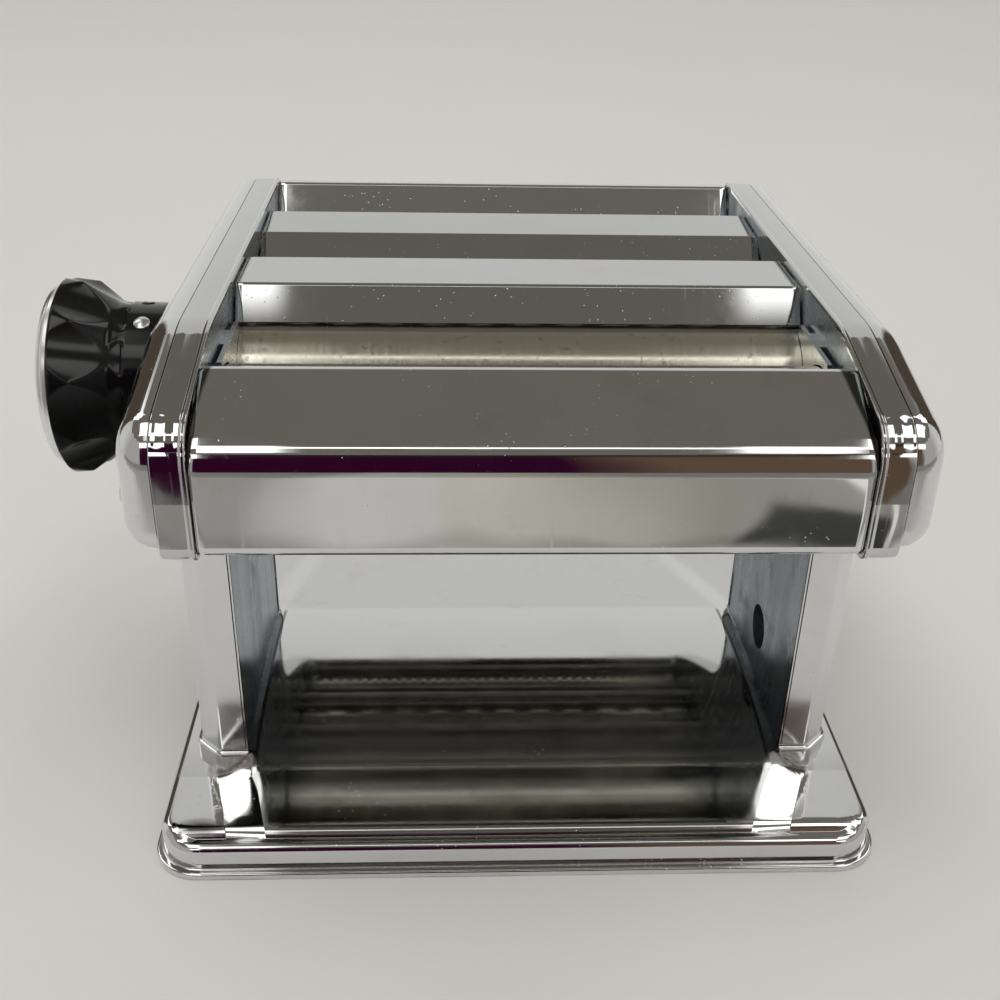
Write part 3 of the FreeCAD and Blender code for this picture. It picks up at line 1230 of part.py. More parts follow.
# Tie rods between the frame plates, and their nuts.
rod_bodies = []
for number, (place, height) in enumerate(RODS):
    rod = new_body("tie_rod_%d" % number, y=place, z=height)
    turned(rod, "tie_rod_turned_%d" % number, [
        ("-(plate_outer + rod_neck)", "0"),
        ("-(plate_outer + rod_neck)", "rod_neck_radius"),
        ("-plate_inner", "rod_neck_radius"),
        ("-plate_inner", "rod_radius"),
        ("plate_inner", "rod_radius"),
        ("plate_inner", "rod_neck_radius"),
        ("plate_outer + rod_neck", "rod_neck_radius"),
        ("plate_outer + rod_neck", "0"),
    ])
    rod_bodies.append(rod)
rod_group = doc.addObject("Part::Compound", "rod_group")
rod_group.Links = rod_bodies
named(rod_group, "tie_rods")


def nut(name, plane, x, y, start):
    """A hexagon nut standing on a plane."""
    sketch = free_sketch(name + "_outline", plane)
    reach = "(nut_flats / 2 / cos(30))"
    corners = [("%s + %s * cos(%d)" % (x, reach, 60 * side), "%s + %s * sin(%d)" % (y, reach, 60 * side))
               for side in range(6)]
    draw(sketch, corners)
    hole = "rod_neck_radius"
    draw_circles(sketch, [(x, y, hole)])
    return extrude(name, sketch, plane, start, "nut_wall")


both_sides("tie_rod_nuts", [nut("rod_nut_%d" % number, "YZ", place, height, "plate_outer")
                            for number, (place, height) in enumerate(RODS)])

# Screws of the side covers.
screw_bodies = []
for number, (place, height) in enumerate(COVER_SCREWS):
    screw = new_body("cover_screw_%d" % number, y=place, z=height)
    turned(screw, "cover_screw_turned_%d" % number, [
        ("plate_inner", "0"),
        ("cover_outer + cover_screw_head_wall", "0"),
        ("cover_outer + cover_screw_head_wall", "0.6 * cover_screw_head"),
        ("cover_outer", "cover_screw_head"),
        ("cover_outer", "cover_screw_radius"),
        ("plate_inner", "cover_screw_radius"),
    ])
    screw_bodies.append(screw)
both_sides("cover_screws", screw_bodies)


# Base: a pressed tray, hollow below, with a lip, a bevelled top and a crown between the legs.
def rounded_plan(half, front, rear, corner):
    return [("-(%s)" % half, "-(%s)" % front, corner), (half, "-(%s)" % front, corner),
            (half, rear, corner), ("-(%s)" % half, rear, corner)]


def tray(name, shrink):
    """The base's form, drawn smaller by a wall for its hollow."""
    wall_half = "base_half - base_lip - (%s)" % shrink
    wall_front = "base_front - base_lip - (%s)" % shrink
    wall_rear = "base_rear - base_lip - (%s)" % shrink
    corner = "base_corner - base_lip - (%s)" % shrink
    wall = prism(name + "_wall", "XY", rounded_plan(wall_half, wall_front, wall_rear, corner),
                 "0", "base_edge_height - (%s)" % shrink)
    height = size("base_edge_height - (%s)" % shrink)

    def top_edge(edge):
        return all(abs(end.Point.z - height) < 1e-4 for end in edge.Vertexes)

    soft = round_edges(name + "_soft", wall, size("base_edge_round - (%s) / 2" % shrink), top_edge)
    bevel = doc.addObject("Part::Loft", name + "_bevel")
    low = draw(free_sketch(name + "_bevel_low", "XY"), rounded_plan(
        "%s - base_bevel_start" % wall_half, "%s - base_bevel_start" % wall_front,
        "%s - base_bevel_start" % wall_rear, "base_corner - base_lip - base_bevel_start"))
    bind(low, "Placement.Base.z", "base_edge_height - (%s) - bevel_sink" % shrink)
    high = draw(free_sketch(name + "_bevel_high", "XY"), rounded_plan(
        "base_top_half - (%s)" % shrink, "base_top_front - (%s)" % shrink,
        "base_top_rear - (%s)" % shrink, "base_corner - base_lip - base_bevel_start"))
    bind(high, "Placement.Base.z", "base_top - (%s)" % shrink)
    bevel.Sections = [low, high]
    bevel.Solid = True
    bevel.Ruled = True
    return [soft, bevel]


def crown(name, shrink):
    """A low arch over the flat, from crease to crease: a slice of a wide cylinder."""
    chord = size("base_top_front + base_top_rear") / 2
    rise = size("crown_height")
    radius = (chord ** 2 + rise ** 2) / (2 * rise)
    barrel = doc.addObject("Part::Feature", name + "_barrel")
    barrel.Shape = Part.makeCylinder(radius - size(shrink), 2 * size("crown_half - (%s)" % shrink),
                                     V(-size("crown_half - (%s)" % shrink), 0, 0), V(1, 0, 0))
    barrel.Placement = FreeCAD.Placement(
        V(0, size("base_top_rear - base_top_front") / 2, size("base_top") + rise - radius),
        FreeCAD.Rotation())
    limit = prism(name + "_limit", "XY", rounded_plan(
        "crown_half + 2 * cut_past", "base_top_front + 2 * cut_past", "base_top_rear + 2 * cut_past",
        "2 * sheet_wall"),
        "base_top - 3 * sheet_wall", "crown_height + 6 * sheet_wall")
    return common(name, barrel, limit)


lip = prism("base_lip_block", "XY", rounded_plan("base_half", "base_front", "base_rear", "base_corner"),
            "0", "base_lip_wall")
outside = fused("base_outside", [lip] + tray("base_outer", "0")
                + [crown("base_crown", "0")])
inside = fused("base_inside", tray("base_inner", "sheet_wall") + [crown("base_crown_inner", "sheet_wall")])
FOOT_SCREWS = [(side + "foot_screw_place", end + "foot_screw_spread")
               for side in ("", "-") for end in ("", "-")]
base_drill = rods("base_drill", "XY", [(x, y, "foot_screw_radius") for x, y in FOOT_SCREWS],
                  "base_edge_height", "base_top")
named(cut("base_drilled", cut("base_hollowed", outside, inside), base_drill), "base_plate")

pads = rods("pad_rods", "XY", [
    ("%s(base_half - base_lip - pad_inset)" % side, place, "pad_radius")
    for side in ("", "-") for place in ("-(base_front - base_lip - pad_inset)",
                                        "base_rear - base_lip - pad_inset")
], "0", "base_edge_height + 2 * cut_past")
named(cut("pads_seated", pads, cut("base_above", prism("base_room", "XY", rounded_plan(
    "base_half", "base_front", "base_rear", "base_corner"), "base_lip_wall", "base_top"), inside)),
    "rubber_pads")

foot_bodies = []
for number, (x, y) in enumerate(FOOT_SCREWS):
    shank = rods("foot_shank_%d" % number, "XY", [(x, y, "foot_screw_radius")],
                 "base_top - sheet_wall", "sheet_wall + foot_tab_wall + nut_wall + 1")
    head = rods("foot_head_%d" % number, "XY", [(x, y, "foot_screw_head")],
                "base_top - sheet_wall - foot_screw_head_wall", "foot_screw_head_wall")
    foot_bodies.append(fused("foot_screw_%d" % number, [shank, head]))
foot_group = doc.addObject("Part::Compound", "foot_group")
foot_group.Links = foot_bodies
named(foot_group, "foot_screws")
nut_group = doc.addObject("Part::Compound", "nut_group")
nut_group.Links = [nut("foot_nut_%d" % number, "XY", x, y, "base_top + foot_tab_wall")
                   for number, (x, y) in enumerate(FOOT_SCREWS)]
named(nut_group, "foot_nuts")

# Check every object, then write each sub-part.
doc.recompute()
faults = [item.Name for item in doc.Objects if "Invalid" in item.State or "Error" in item.State]
for label, item in finished.items():
    if item.Shape.isNull() or not item.Shape.isValid() or not item.Shape.Solids:
        faults.append(label)
if faults:
    raise RuntimeError("failed: " + ", ".join(sorted(set(faults))))
os.makedirs("parts", exist_ok=True)
for label, item in finished.items():
    item.Shape.exportStep("parts/%s.step" % label)
    print("%-24s %2d solids %12.1f mm3" % (label, len(item.Shape.Solids), item.Shape.Volume))
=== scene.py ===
# %% [markdown]
# # A chromed pasta machine
# The machine stands on a pale table under soft light. Almost everything on it is polished chrome, so the
# picture is made of reflections: the room has to be right before the metal can look right. The cells go
# from the camera to helpers for shapes and finishes, then piece by piece over the machine.

# %% Load the machine
import json
import math

import bmesh
import bpy
import numpy as np
from mathutils import Matrix
from mathutils.geometry import tessellate_polygon


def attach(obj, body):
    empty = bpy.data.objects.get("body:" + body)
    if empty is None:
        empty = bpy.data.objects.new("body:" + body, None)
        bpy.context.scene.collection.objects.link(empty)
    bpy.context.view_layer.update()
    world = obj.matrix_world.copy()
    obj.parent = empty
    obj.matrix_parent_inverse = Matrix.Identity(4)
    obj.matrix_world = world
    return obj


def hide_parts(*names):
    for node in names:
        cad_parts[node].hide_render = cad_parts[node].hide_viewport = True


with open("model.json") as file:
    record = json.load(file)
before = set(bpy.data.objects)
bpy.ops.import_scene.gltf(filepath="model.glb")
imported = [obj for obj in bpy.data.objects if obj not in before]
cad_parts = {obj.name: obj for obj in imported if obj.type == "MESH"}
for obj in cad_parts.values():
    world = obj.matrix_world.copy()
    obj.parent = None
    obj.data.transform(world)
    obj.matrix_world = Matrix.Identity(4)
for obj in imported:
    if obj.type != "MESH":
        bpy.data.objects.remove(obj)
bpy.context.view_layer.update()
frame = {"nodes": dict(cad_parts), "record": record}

MM = 0.001

# %% [markdown]
# ## Camera
# The photograph was taken from in front and above, close to the machine, with the phone turned by about a
# degree. Its place and angles come from matching known corners of the machine with their pixels. A camera
# in Blender looks down its own -Z axis with +Y up, so the three axes below are its right, up and back.

# %% Camera
EYE = np.array([-20.0, -310.87, 249.01]) * MM
YAW, PITCH, ROLL = 0.0498, 0.5037, -0.0237

ahead = np.array([math.sin(YAW) * math.cos(PITCH), math.cos(YAW) * math.cos(PITCH), -math.sin(PITCH)])
level = np.array([math.cos(YAW), -math.sin(YAW), 0.0])
down = np.cross(ahead, level)
right = math.cos(ROLL) * level + math.sin(ROLL) * down
up = math.sin(ROLL) * level - math.cos(ROLL) * down
camera = bpy.data.objects.new("camera", bpy.data.cameras.new("camera"))
bpy.context.scene.collection.objects.link(camera)
camera.matrix_world = Matrix([[right[i], up[i], -ahead[i], EYE[i]] for i in range(3)] + [[0, 0, 0, 1]])
camera.data.sensor_width = 36.0
camera.data.lens = 43.87
camera.data.clip_start = 0.01
bpy.context.scene.camera = camera
print("camera at", EYE.round(3), "looking along", ahead.round(3))

# %% [markdown]
# ## Paths with rounded corners
# Pressed sheet metal is straight runs joined by bends, so one helper draws every outline: it is given
# corners and bend radii, and can move the whole outline inwards, as the wall of a pan needs.


# %% Rounded path
def rounded_path(corners, inset=0.0, closed=True, steps=8):
    """Points along a path whose corners (a, b, radius) are turned into arcs.

    u and v are the directions into and out of a corner, n1 and n2 their left normals. Moving the sides
    by inset to the left moves the corner by inset * (n1 + n2) / (1 + u.v) and takes inset from the
    radius of a left turn. The arc starts radius * tan(turn / 2) before the corner, and its points are
    that start turned about the arc's centre by equal shares of the turn."""
    table = np.array([(tuple(corner) + (0.0,))[:3] for corner in corners], float)
    points, radius = table[:, :2], table[:, 2]
    if closed and np.sum(points[:, 0] * np.roll(points[:, 1], -1) - np.roll(points[:, 0], -1) * points[:, 1]) < 0:
        points, radius = points[::-1], radius[::-1]
    v = np.roll(points, -1, 0) - points
    v /= np.linalg.norm(v, axis=1, keepdims=True)
    u = np.roll(v, 1, 0)
    if not closed:
        v[-1], u[0] = u[-1], v[0]
    n1, n2 = np.stack([-u[:, 1], u[:, 0]], 1), np.stack([-v[:, 1], v[:, 0]], 1)
    cosine = np.sum(u * v, 1)
    turn = np.arctan2(u[:, 0] * v[:, 1] - u[:, 1] * v[:, 0], cosine)
    moved = points + inset * (n1 + n2) / (1 + cosine)[:, None]
    radius = np.where(radius > 0, np.maximum(radius - inset * np.sign(turn), 0.02), 0.0)
    start = moved - u * (radius * np.abs(np.tan(turn / 2)))[:, None]
    centre = start + n1 * (radius * np.sign(turn))[:, None]
    angle = turn[:, None] * np.linspace(0, 1, steps + 1)[None]
    arm = (start - centre)[:, None]
    cos, sin = np.cos(angle), np.sin(angle)
    arc = np.stack([arm[..., 0] * cos - arm[..., 1] * sin, arm[..., 0] * sin + arm[..., 1] * cos], -1)
    return (centre[:, None] + arc).reshape(-1, 2)


def circle(a, b, radius, count=48):
    """(a + radius cos t, b + radius sin t) for t once round."""
    t = np.linspace(0, 2 * np.pi, count, endpoint=False)
    return np.stack([a + radius * np.cos(t), b + radius * np.sin(t)], 1)


def at_x(points, x):
    """Points (y, z) set in the plane at x."""
    return np.column_stack([np.full(len(points), float(x)), points])


def at_z(points, z):
    """Points (x, y) set in the plane at z."""
    return np.column_stack([points, np.full(len(points), float(z))])


print("a square with 2 mm corners has", len(rounded_path([(0, 0, 2), (9, 0, 2), (9, 9, 2), (0, 9, 2)])), "points")

# %% [markdown]
# ## Building a piece
# A piece is made of patches: rings of points joined by quads, and flat walls that may have holes. They are
# collected in millimetres, joined where their edges meet, and turned to face outwards. Chrome shows every
# wrong normal, so flat faces get more weight than the narrow facets of the bends beside them.


# %% Piece builder
class Piece:
    """Patches of one piece, in millimetres, on their way to being a mesh in metres."""

    def __init__(self, name):
        self.name, self.points, self.faces, self.count = name, [], [], 0

    def _take(self, points, faces):
        self.points.append(np.asarray(points, float).reshape(-1, 3))
        self.faces += (np.asarray(faces) + self.count).tolist()
        self.count += len(self.points[-1])

    def rings(self, rings, wrap=True):
        """Quads (i, j), (i, j+1), (i+1, j+1), (i+1, j) over a grid; wrap joins the last column to the first."""
        grid = np.asarray(rings, float)
        number = np.arange(grid.shape[0] * grid.shape[1]).reshape(grid.shape[:2])
        if wrap:
            number = np.concatenate([number, number[:, :1]], 1)
        quads = np.stack([number[:-1, :-1], number[:-1, 1:], number[1:, 1:], number[1:, :-1]], -1)
        self._take(grid, quads.reshape(-1, 4))
        return self

    def wall(self, loops):
        """A flat wall: triangles between the first loop of points and the holes that follow it."""
        loops = [np.asarray(loop, float) for loop in loops]
        self._take(np.concatenate(loops), tessellate_polygon([loop.tolist() for loop in loops]))
        return self

    def make(self, finish, body="root", slot="chrome", stands_for=(), facing=None, bevel=0.0, sheet=0.0,
             sharp=32.0):
        """The finished object: doubles merged, faces turned outwards, bends smooth, and riding on its body."""
        mesh = bpy.data.meshes.new(self.name)
        mesh.from_pydata((np.vstack(self.points) * MM).tolist(), [], self.faces)
        work = bmesh.new()
        work.from_mesh(mesh)
        bmesh.ops.remove_doubles(work, verts=work.verts, dist=3e-6)
        bmesh.ops.dissolve_degenerate(work, edges=work.edges, dist=1e-6)
        bmesh.ops.recalc_face_normals(work, faces=work.faces)
        if facing is not None:
            tilt = sum(face.normal.dot(facing) * face.calc_area() for face in work.faces)
            if tilt < 0:
                bmesh.ops.reverse_faces(work, faces=work.faces)
        work.to_mesh(mesh)
        work.free()
        mesh.shade_smooth()
        mesh.set_sharp_from_angle(angle=math.radians(sharp))
        mesh.materials.append(finish)
        piece = bpy.data.objects.new(self.name, mesh)
        bpy.context.scene.collection.objects.link(piece)
        if sheet:
            wall = piece.modifiers.new("sheet", "SOLIDIFY")
            wall.thickness, wall.offset = sheet * MM, -1.0
        if bevel:
            edge = piece.modifiers.new("edges", "BEVEL")
            edge.width, edge.segments, edge.limit_method = bevel * MM, 3, "ANGLE"
            edge.angle_limit = math.radians(50)
        shading = piece.modifiers.new("shading", "WEIGHTED_NORMAL")
        shading.keep_sharp = True
        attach(piece, body)
        if stands_for:
            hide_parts(*stands_for)
        print(f"{self.name}: {len(mesh.vertices)} points, {len(mesh.polygons)} faces")
        return piece


# %% [markdown]
# ## Shader arithmetic
# A finish is a formula over the surface: a mask is a noise minus a threshold, a roughness is a base plus
# smudges plus scratches. Wrapping a socket in a class that knows + - * lets the formula be written as one.


# %% Sockets as numbers
class Value:
    """A number that varies over the surface. Arithmetic on it adds Math nodes."""

    def __init__(self, finish, socket):
        self.finish, self.socket = finish, socket

    def _math(self, operation, other=None, turned=False, clamp=False):
        values = {0: other, 1: self} if turned else {0: self, 1: other}
        return self.finish.node("ShaderNodeMath", {"operation": operation, "use_clamp": clamp},
                                {k: v for k, v in values.items() if v is not None})

    def __add__(self, other):
        return self._math("ADD", other)

    def __sub__(self, other):
        return self._math("SUBTRACT", other)

    def __rsub__(self, other):
        return self._math("SUBTRACT", other, turned=True)

    def __mul__(self, other):
        return self._math("MULTIPLY", other)

    def __truediv__(self, other):
        return self._math("DIVIDE", other)

    def __pow__(self, other):
        return self._math("POWER", other)

    __radd__, __rmul__ = __add__, __mul__

    def over(self, low, high):
        """0 below low, 1 above high and an even slope between: clamp((self - low) / (high - low))."""
        return ((self - low) * (1 / (high - low)))._math("ADD", 0.0, clamp=True)


class Finish:
    """A material or world under construction."""

    def __init__(self, owner):
        self.owner = owner
        owner.use_nodes = True
        self.tree = owner.node_tree
        self.shader = self.tree.nodes.get("Principled BSDF") or self.tree.nodes.get("Background")

    def node(self, kind, settings=None, values=None, output=0):
        """One node: its settings first, then its sockets' values or links."""
        node = self.tree.nodes.new(kind)
        for key, value in (settings or {}).items():
            setattr(node, key, value)
        for key, value in (values or {}).items():
            self.feed(node.inputs[key], value)
        return Value(self, node.outputs[output])

    def feed(self, socket, value):
        """Links a Value to a socket, or sets the socket to a plain number or colour."""
        if isinstance(value, Value):
            self.tree.links.new(value.socket, socket)
        elif hasattr(value, "__len__") and len(value) == 3 and len(socket.default_value) == 4:
            socket.default_value = (*value, 1.0)
        else:
            socket.default_value = value

    def set(self, **values):
        """Sockets of the shader, with _ for a space: finish.set(Base_Color=..., Roughness=...)."""
        for key, value in values.items():
            self.feed(self.shader.inputs[key.replace("_", " ")], value)
        return self.owner

    def place(self, stretch=(1, 1, 1), shift=(0, 0, 0)):
        """Object coordinates in metres, stretched along an axis or shifted."""
        spot = self.node("ShaderNodeTexCoord", output="Object")
        return self.node("ShaderNodeMapping", values={"Vector": spot, "Scale": stretch, "Location": shift})

    def noise(self, place, scale, detail=3.0, roughness=0.55):
        """Cloudy noise from 0 to 1, scale cells to the metre."""
        return self.node("ShaderNodeTexNoise", values={
            "Vector": place, "Scale": scale, "Detail": detail, "Roughness": roughness})

    def cells(self, place, scale, output="Distance"):
        """Distance to the nearest of scattered points, scale of them to the metre."""
        return self.node("ShaderNodeTexVoronoi", values={"Vector": place, "Scale": scale}, output=output)

    def mix(self, factor, first, second):
        """A colour between two colours."""
        return self.node("ShaderNodeMix", {"data_type": "RGBA"}, {0: factor, 6: first, 7: second}, output=2)

    def axis(self, place, name):
        """One coordinate of a place."""
        return self.node("ShaderNodeSeparateXYZ", values={0: place}, output=name)

    def bump(self, height, depth):
        """A surface normal from a height of 0 to 1, depth millimetres deep."""
        return self.node("ShaderNodeBump", values={"Strength": 1.0, "Distance": depth * MM, "Height": height})


def new_finish(name):
    return Finish(bpy.data.materials.new(name))


# %% [markdown]
# ## Chrome
# Old polished chrome is a mirror with faults: soft smudges that blur it a little, pin pricks where the
# plating has failed, fine scratches from wiping, a slight waviness of the sheet that bends reflections,
# and here and there a warm stain. Each fault is one mask, and the finish adds them up. Marks that belong
# to one piece come first, as functions that take the finish so far and give it back changed; besides
# rust they paint shade and dark reflections into the colour of the base and of the front cover's ends.


# %% Marks on single pieces
def patch(across, along, low, high):
    """1 in the middle of an ellipse and 0 outside: across and along are distances in its own units."""
    return 1 - (across * across + along * along).over(low, high)


def nose_lines(f, place, ribs):
    """Height of drawing lines 3.4 mm apart along X on a nose, which also leans back under them."""
    spot = f.place()
    wander = f.noise(place, 60.0, 2.0) * 0.0012
    phase = (f.axis(spot, "X") + wander) * (2 * math.pi / 0.0034)
    lines = f.node("ShaderNodeMath", {"operation": "SINE"}, {0: phase})
    nose = (1 - f.axis(spot, "Y").over(-0.0665, -0.0635)) * f.axis(spot, "Z").over(0.1285, 0.1305)
    return lines * ribs * nose - f.axis(spot, "Z").over(0.1165, 0.129) * 46.0


def from_middle(f, spot):
    """Distance from the middle of the machine, and 1 on its right half."""
    x = f.axis(spot, "X")
    return f.node("ShaderNodeMath", {"operation": "ABSOLUTE"}, {0: x}), x.over(-0.001, 0.001)


def base_marks(f, place, height, colour, rough):
    """Height, colour and roughness of the base with its own marks.

    before is the distance in front of the crease and inner the distance past the fold's start. The folds
    stay steep down to the rim. A painted shade lies across the front slope, darkening it where it mirrors
    the shaded underside of the head; a blurred painted dark reflection lies on the left corner, a painted
    shadow line along the plates' feet, rust at the legs' corners; the crown is dull near its crease."""
    spot = f.place()
    x, y, z = (f.axis(spot, name) for name in "XYZ")
    far, other = from_middle(f, spot)
    before = (-0.043 - y).over(0.0, 1.0)
    inner = far - 0.0746 + other * 0.0018 + before * (other * 0.16 + 0.26)
    within = inner.over(0.0, 0.0105) * (1 - inner.over(0.0104, 0.0106)) * z.over(0.0093, 0.0096)
    height = height - within * before.over(0.003, 0.016) * 27.0
    # painted shade: a darker stretch across the front slope, where the mirror sees the shaded underside of the head
    shade = before.over(0.010, 0.0112) * (1 - before.over(0.0218, 0.0224)) * (1 - inner.over(-0.004, 0.0))
    colour = f.mix(shade * 0.4, colour, (0.08, 0.075, 0.06))
    # painted dark reflection: a blurred dark patch on the base's left front corner
    painted_dark_patch = patch((x + 0.087) * 150, (y + 0.0635) * 260, 0.1, 1.3) * z.over(0.0102, 0.0108)
    colour = f.mix(painted_dark_patch * 0.8, colour, (0.05, 0.047, 0.043))
    crown = 1 - before.over(0.0, 0.0004)
    # painted shadow: a dark line in the gap where the plates' feet meet the crown
    painted_gap_shadow = inner.over(-0.0008, -0.0004) * (1 - inner.over(0.0002, 0.0006)) * crown
    colour = f.mix(painted_gap_shadow * (1 - y.over(0.034, 0.0365)) * 0.75, colour, (0.05, 0.045, 0.04))
    rust = patch((far - 0.079) * 230, (y + 0.039) * 260, 0.2, 1.2) * f.noise(place, 500.0, 4.0).over(0.4, 0.6)
    colour = f.mix(rust * 0.7, colour, (0.20, 0.10, 0.04))
    return height, colour, rough + crown * (1 - y.over(-0.041, -0.026)) * 0.12


def painted_dark_ends(f, place, colour):
    """Colour with a painted dark reflection on the ends of the front cover's slope, where they look into the gap
    beside them.
    """
    spot = f.place()
    y = f.axis(spot, "Y")
    far, other = from_middle(f, spot)
    inner = far + y * 0.16 + f.noise(place, 90.0, 2.0) * 0.0006 + other * 0.0016
    # painted dark reflection of the gap beside the cover's ends
    band = inner.over(0.0664, 0.0672) * f.axis(spot, "Z").over(0.1300, 0.1308)
    return f.mix(band * (1 - y.over(-0.04, -0.03)), colour, (0.085, 0.095, 0.088))


# %% Chrome
def chrome(name, blur=0.045, specks=0.5, wave=0.05, warm=0.25, scratch=0.5, shift=(0, 0, 0), satin=None,
           ribs=0.0, ends=False, folds=False, tint=1.0):
    """Mirror chrome. blur is its least roughness, wave the sheet's waviness, tint below 1 dulls the metal.

    satin = (low, high), in millimetres of height, blurs it from high down to low; ribs, ends and folds add
    the marks of the rims' noses, of the front cover and of the base; the front cover's and the base's
    marks include painted shade and painted dark reflections."""
    f = new_finish(name)
    place = f.place(shift=shift)
    smudge = f.noise(place, 38.0, 5.0).over(0.48, 0.72)
    fog = f.noise(place, 210.0, 4.0, 0.7).over(0.5, 0.8)
    prick = 1 - f.cells(place, 620.0).over(0.07, 0.13)
    few = f.noise(place, 55.0, 2.0).over(0.6 - 0.12 * specks, 0.72 - 0.12 * specks)
    speck = prick * few
    hair = f.noise(f.place(stretch=(1.0, 0.05, 0.05), shift=shift), 900.0, 2.0, 0.4).over(0.66, 0.72)
    wiped = hair * f.noise(place, 24.0, 2.0).over(0.45, 0.6) * scratch
    stain = f.noise(place, 60.0, 6.0, 0.65).over(0.58, 0.8) * warm
    bright, dim = (tuple(tint * part for part in tone) for tone in ((0.62, 0.62, 0.615), (0.575, 0.57, 0.56)))
    colour = f.mix(stain, f.mix(smudge * 0.5, bright, dim), (0.47, 0.40, 0.31))
    colour = f.mix(speck * 0.7, colour, (0.70, 0.69, 0.66))
    rough = blur + smudge * 0.05 + fog * 0.03 + wiped * 0.16 + speck * 0.4 + stain * 0.12
    if satin:
        rough = rough + (1 - f.axis(f.place(), "Z").over(satin[0] * MM, satin[1] * MM)) * 0.24
    height = f.noise(place, 26.0, 1.0) * wave / 0.05 - speck * 0.25
    if ribs:
        height = height + nose_lines(f, place, ribs)
    # base marks: steeper folds and rust, with painted shade, a painted shadow line and a painted dark reflection
    if folds:
        height, colour, rough = base_marks(f, place, height, colour, rough)
    # painted dark reflection on the front cover's ends
    if ends:
        colour = painted_dark_ends(f, place, colour)
    return f.set(Base_Color=colour, Roughness=rough, Metallic=1.0, Normal=f.bump(height, 0.05))


shell_chrome = chrome("shell_chrome", blur=0.05, satin=(112, 128))
rim_chrome = chrome("rim_chrome", blur=0.035, specks=0.6, shift=(0.3, 0, 0), ribs=0.9, tint=0.86)
cover_chrome = chrome("cover_chrome", blur=0.035, specks=0.5, wave=0.16, warm=0.35, shift=(0, 0.4, 0), ends=True)
ridge_chrome = chrome("ridge_chrome", blur=0.05, specks=1.3, wave=0.05, shift=(0, 0, 0.5), tint=0.85)
leg_chrome = chrome("leg_chrome", blur=0.15, specks=0.6, warm=0.5, shift=(0.7, 0, 0))
base_chrome = chrome("base_chrome", blur=0.06, specks=0.5, wave=0.01, warm=0.3, scratch=0.15, shift=(0, 0.9, 0),
                     folds=True)
print("chrome finishes:", sum("chrome" in material.name for material in bpy.data.materials))

# %% [markdown]
# ## The other metals
# The frame plates are zinc plated: blue-grey with a faint crystal pattern and streaks from handling,
# and painted shade, nearly black, on their upper front beside the front cover's ends. The rollers are
# satin nickel, turned, so their fine lines run round them and a thin film of old flour and oil gives them
# a warm tone. Bushes are bronze, the guides and small parts plain steel.


# %% Zinc, nickel, steel and bronze
def zinc_plating():
    f = new_finish("zinc_plating")
    place = f.place()
    spangle = f.cells(place, 420.0, "Color")
    streak = f.noise(f.place(stretch=(1.0, 1.0, 0.12)), 120.0, 3.0).over(0.4, 0.8)
    dirt = f.noise(place, 45.0, 6.0, 0.7).over(0.55, 0.78)
    grey = f.mix(f.axis(spangle, "X") * 0.3, (0.27, 0.31, 0.35), (0.33, 0.37, 0.41))
    colour = f.mix(dirt * 0.5, f.mix(streak * 0.3, grey, (0.20, 0.23, 0.27)), (0.16, 0.135, 0.11))
    # painted shade: the plates' upper front, seen in the gap at the front cover's ends, is made nearly black
    shade = f.axis(place, "Z").over(0.098, 0.106) * (1 - f.axis(place, "Y").over(-0.050, -0.044))
    colour = f.mix(shade, colour, (0.035, 0.034, 0.032))
    rough = 0.24 + streak * 0.12 + dirt * 0.25
    return f.set(Base_Color=colour, Roughness=rough, Metallic=0.92,
                 Normal=f.bump(f.noise(place, 350.0, 3.0), 0.02))


def turned_metal(name, light, dark, blur, lines=0.02):
    """A metal turned about an axis along X: fine rings across X, and cloudy tarnish."""
    f = new_finish(name)
    place = f.place()
    ring = f.noise(f.place(stretch=(1.0, 0.02, 0.02)), 1500.0, 2.0)
    tarnish = f.noise(place, 70.0, 6.0, 0.65).over(0.42, 0.7)
    spot = f.noise(place, 420.0, 3.0).over(0.62, 0.7) * 0.5
    colour = f.mix(spot, f.mix(tarnish, light, dark), tuple(0.45 * c for c in dark))
    return f.set(Base_Color=colour, Roughness=blur + ring * 0.12 + tarnish * 0.08, Metallic=1.0,
                 Normal=f.bump(ring, lines))


zinc = zinc_plating()
nickel = turned_metal("satin_nickel", (0.58, 0.56, 0.48), (0.51, 0.485, 0.40), 0.13, 0.004)
cut_steel = turned_metal("cut_steel", (0.26, 0.255, 0.24), (0.15, 0.145, 0.13), 0.26)
bright_steel = turned_metal("bright_steel", (0.60, 0.60, 0.59), (0.46, 0.46, 0.44), 0.18)
bronze = turned_metal("bush_bronze", (0.52, 0.36, 0.20), (0.36, 0.25, 0.15), 0.28)


# %% [markdown]
# ## Black plastic, spun cap and rubber
# The knob is moulded black plastic with a gloss skin on its upper half, dulled by fine scratches. Its cap
# is a thin spun disc: the tool leaves rings round the centre, so the rings are a function of the distance
# from the axis.


# %% Knob finishes
AXIS_Z = 116.5


def knob_plastic():
    f = new_finish("knob_plastic")
    place = f.place()
    wear = f.noise(place, 160.0, 5.0, 0.7).over(0.5, 0.75)
    hair = f.noise(f.place(stretch=(0.06, 1, 1)), 900.0, 2.0, 0.4).over(0.68, 0.73)
    dust = (1 - f.cells(place, 800.0).over(0.05, 0.1)) * 0.3
    colour = f.mix(dust, f.mix(wear, (0.004, 0.004, 0.004), (0.008, 0.008, 0.009)), (0.10, 0.10, 0.10))
    gloss = f.axis(place, "Z").over(0.117, 0.129)
    return f.set(Base_Color=colour, Roughness=0.16 + wear * 0.1 + hair * 0.2, Specular_IOR_Level=0.07,
                 Coat_Weight=gloss * 0.5, Coat_Roughness=0.14,
                 Normal=f.bump(f.noise(place, 90.0, 2.0) + hair * 0.2, 0.01))


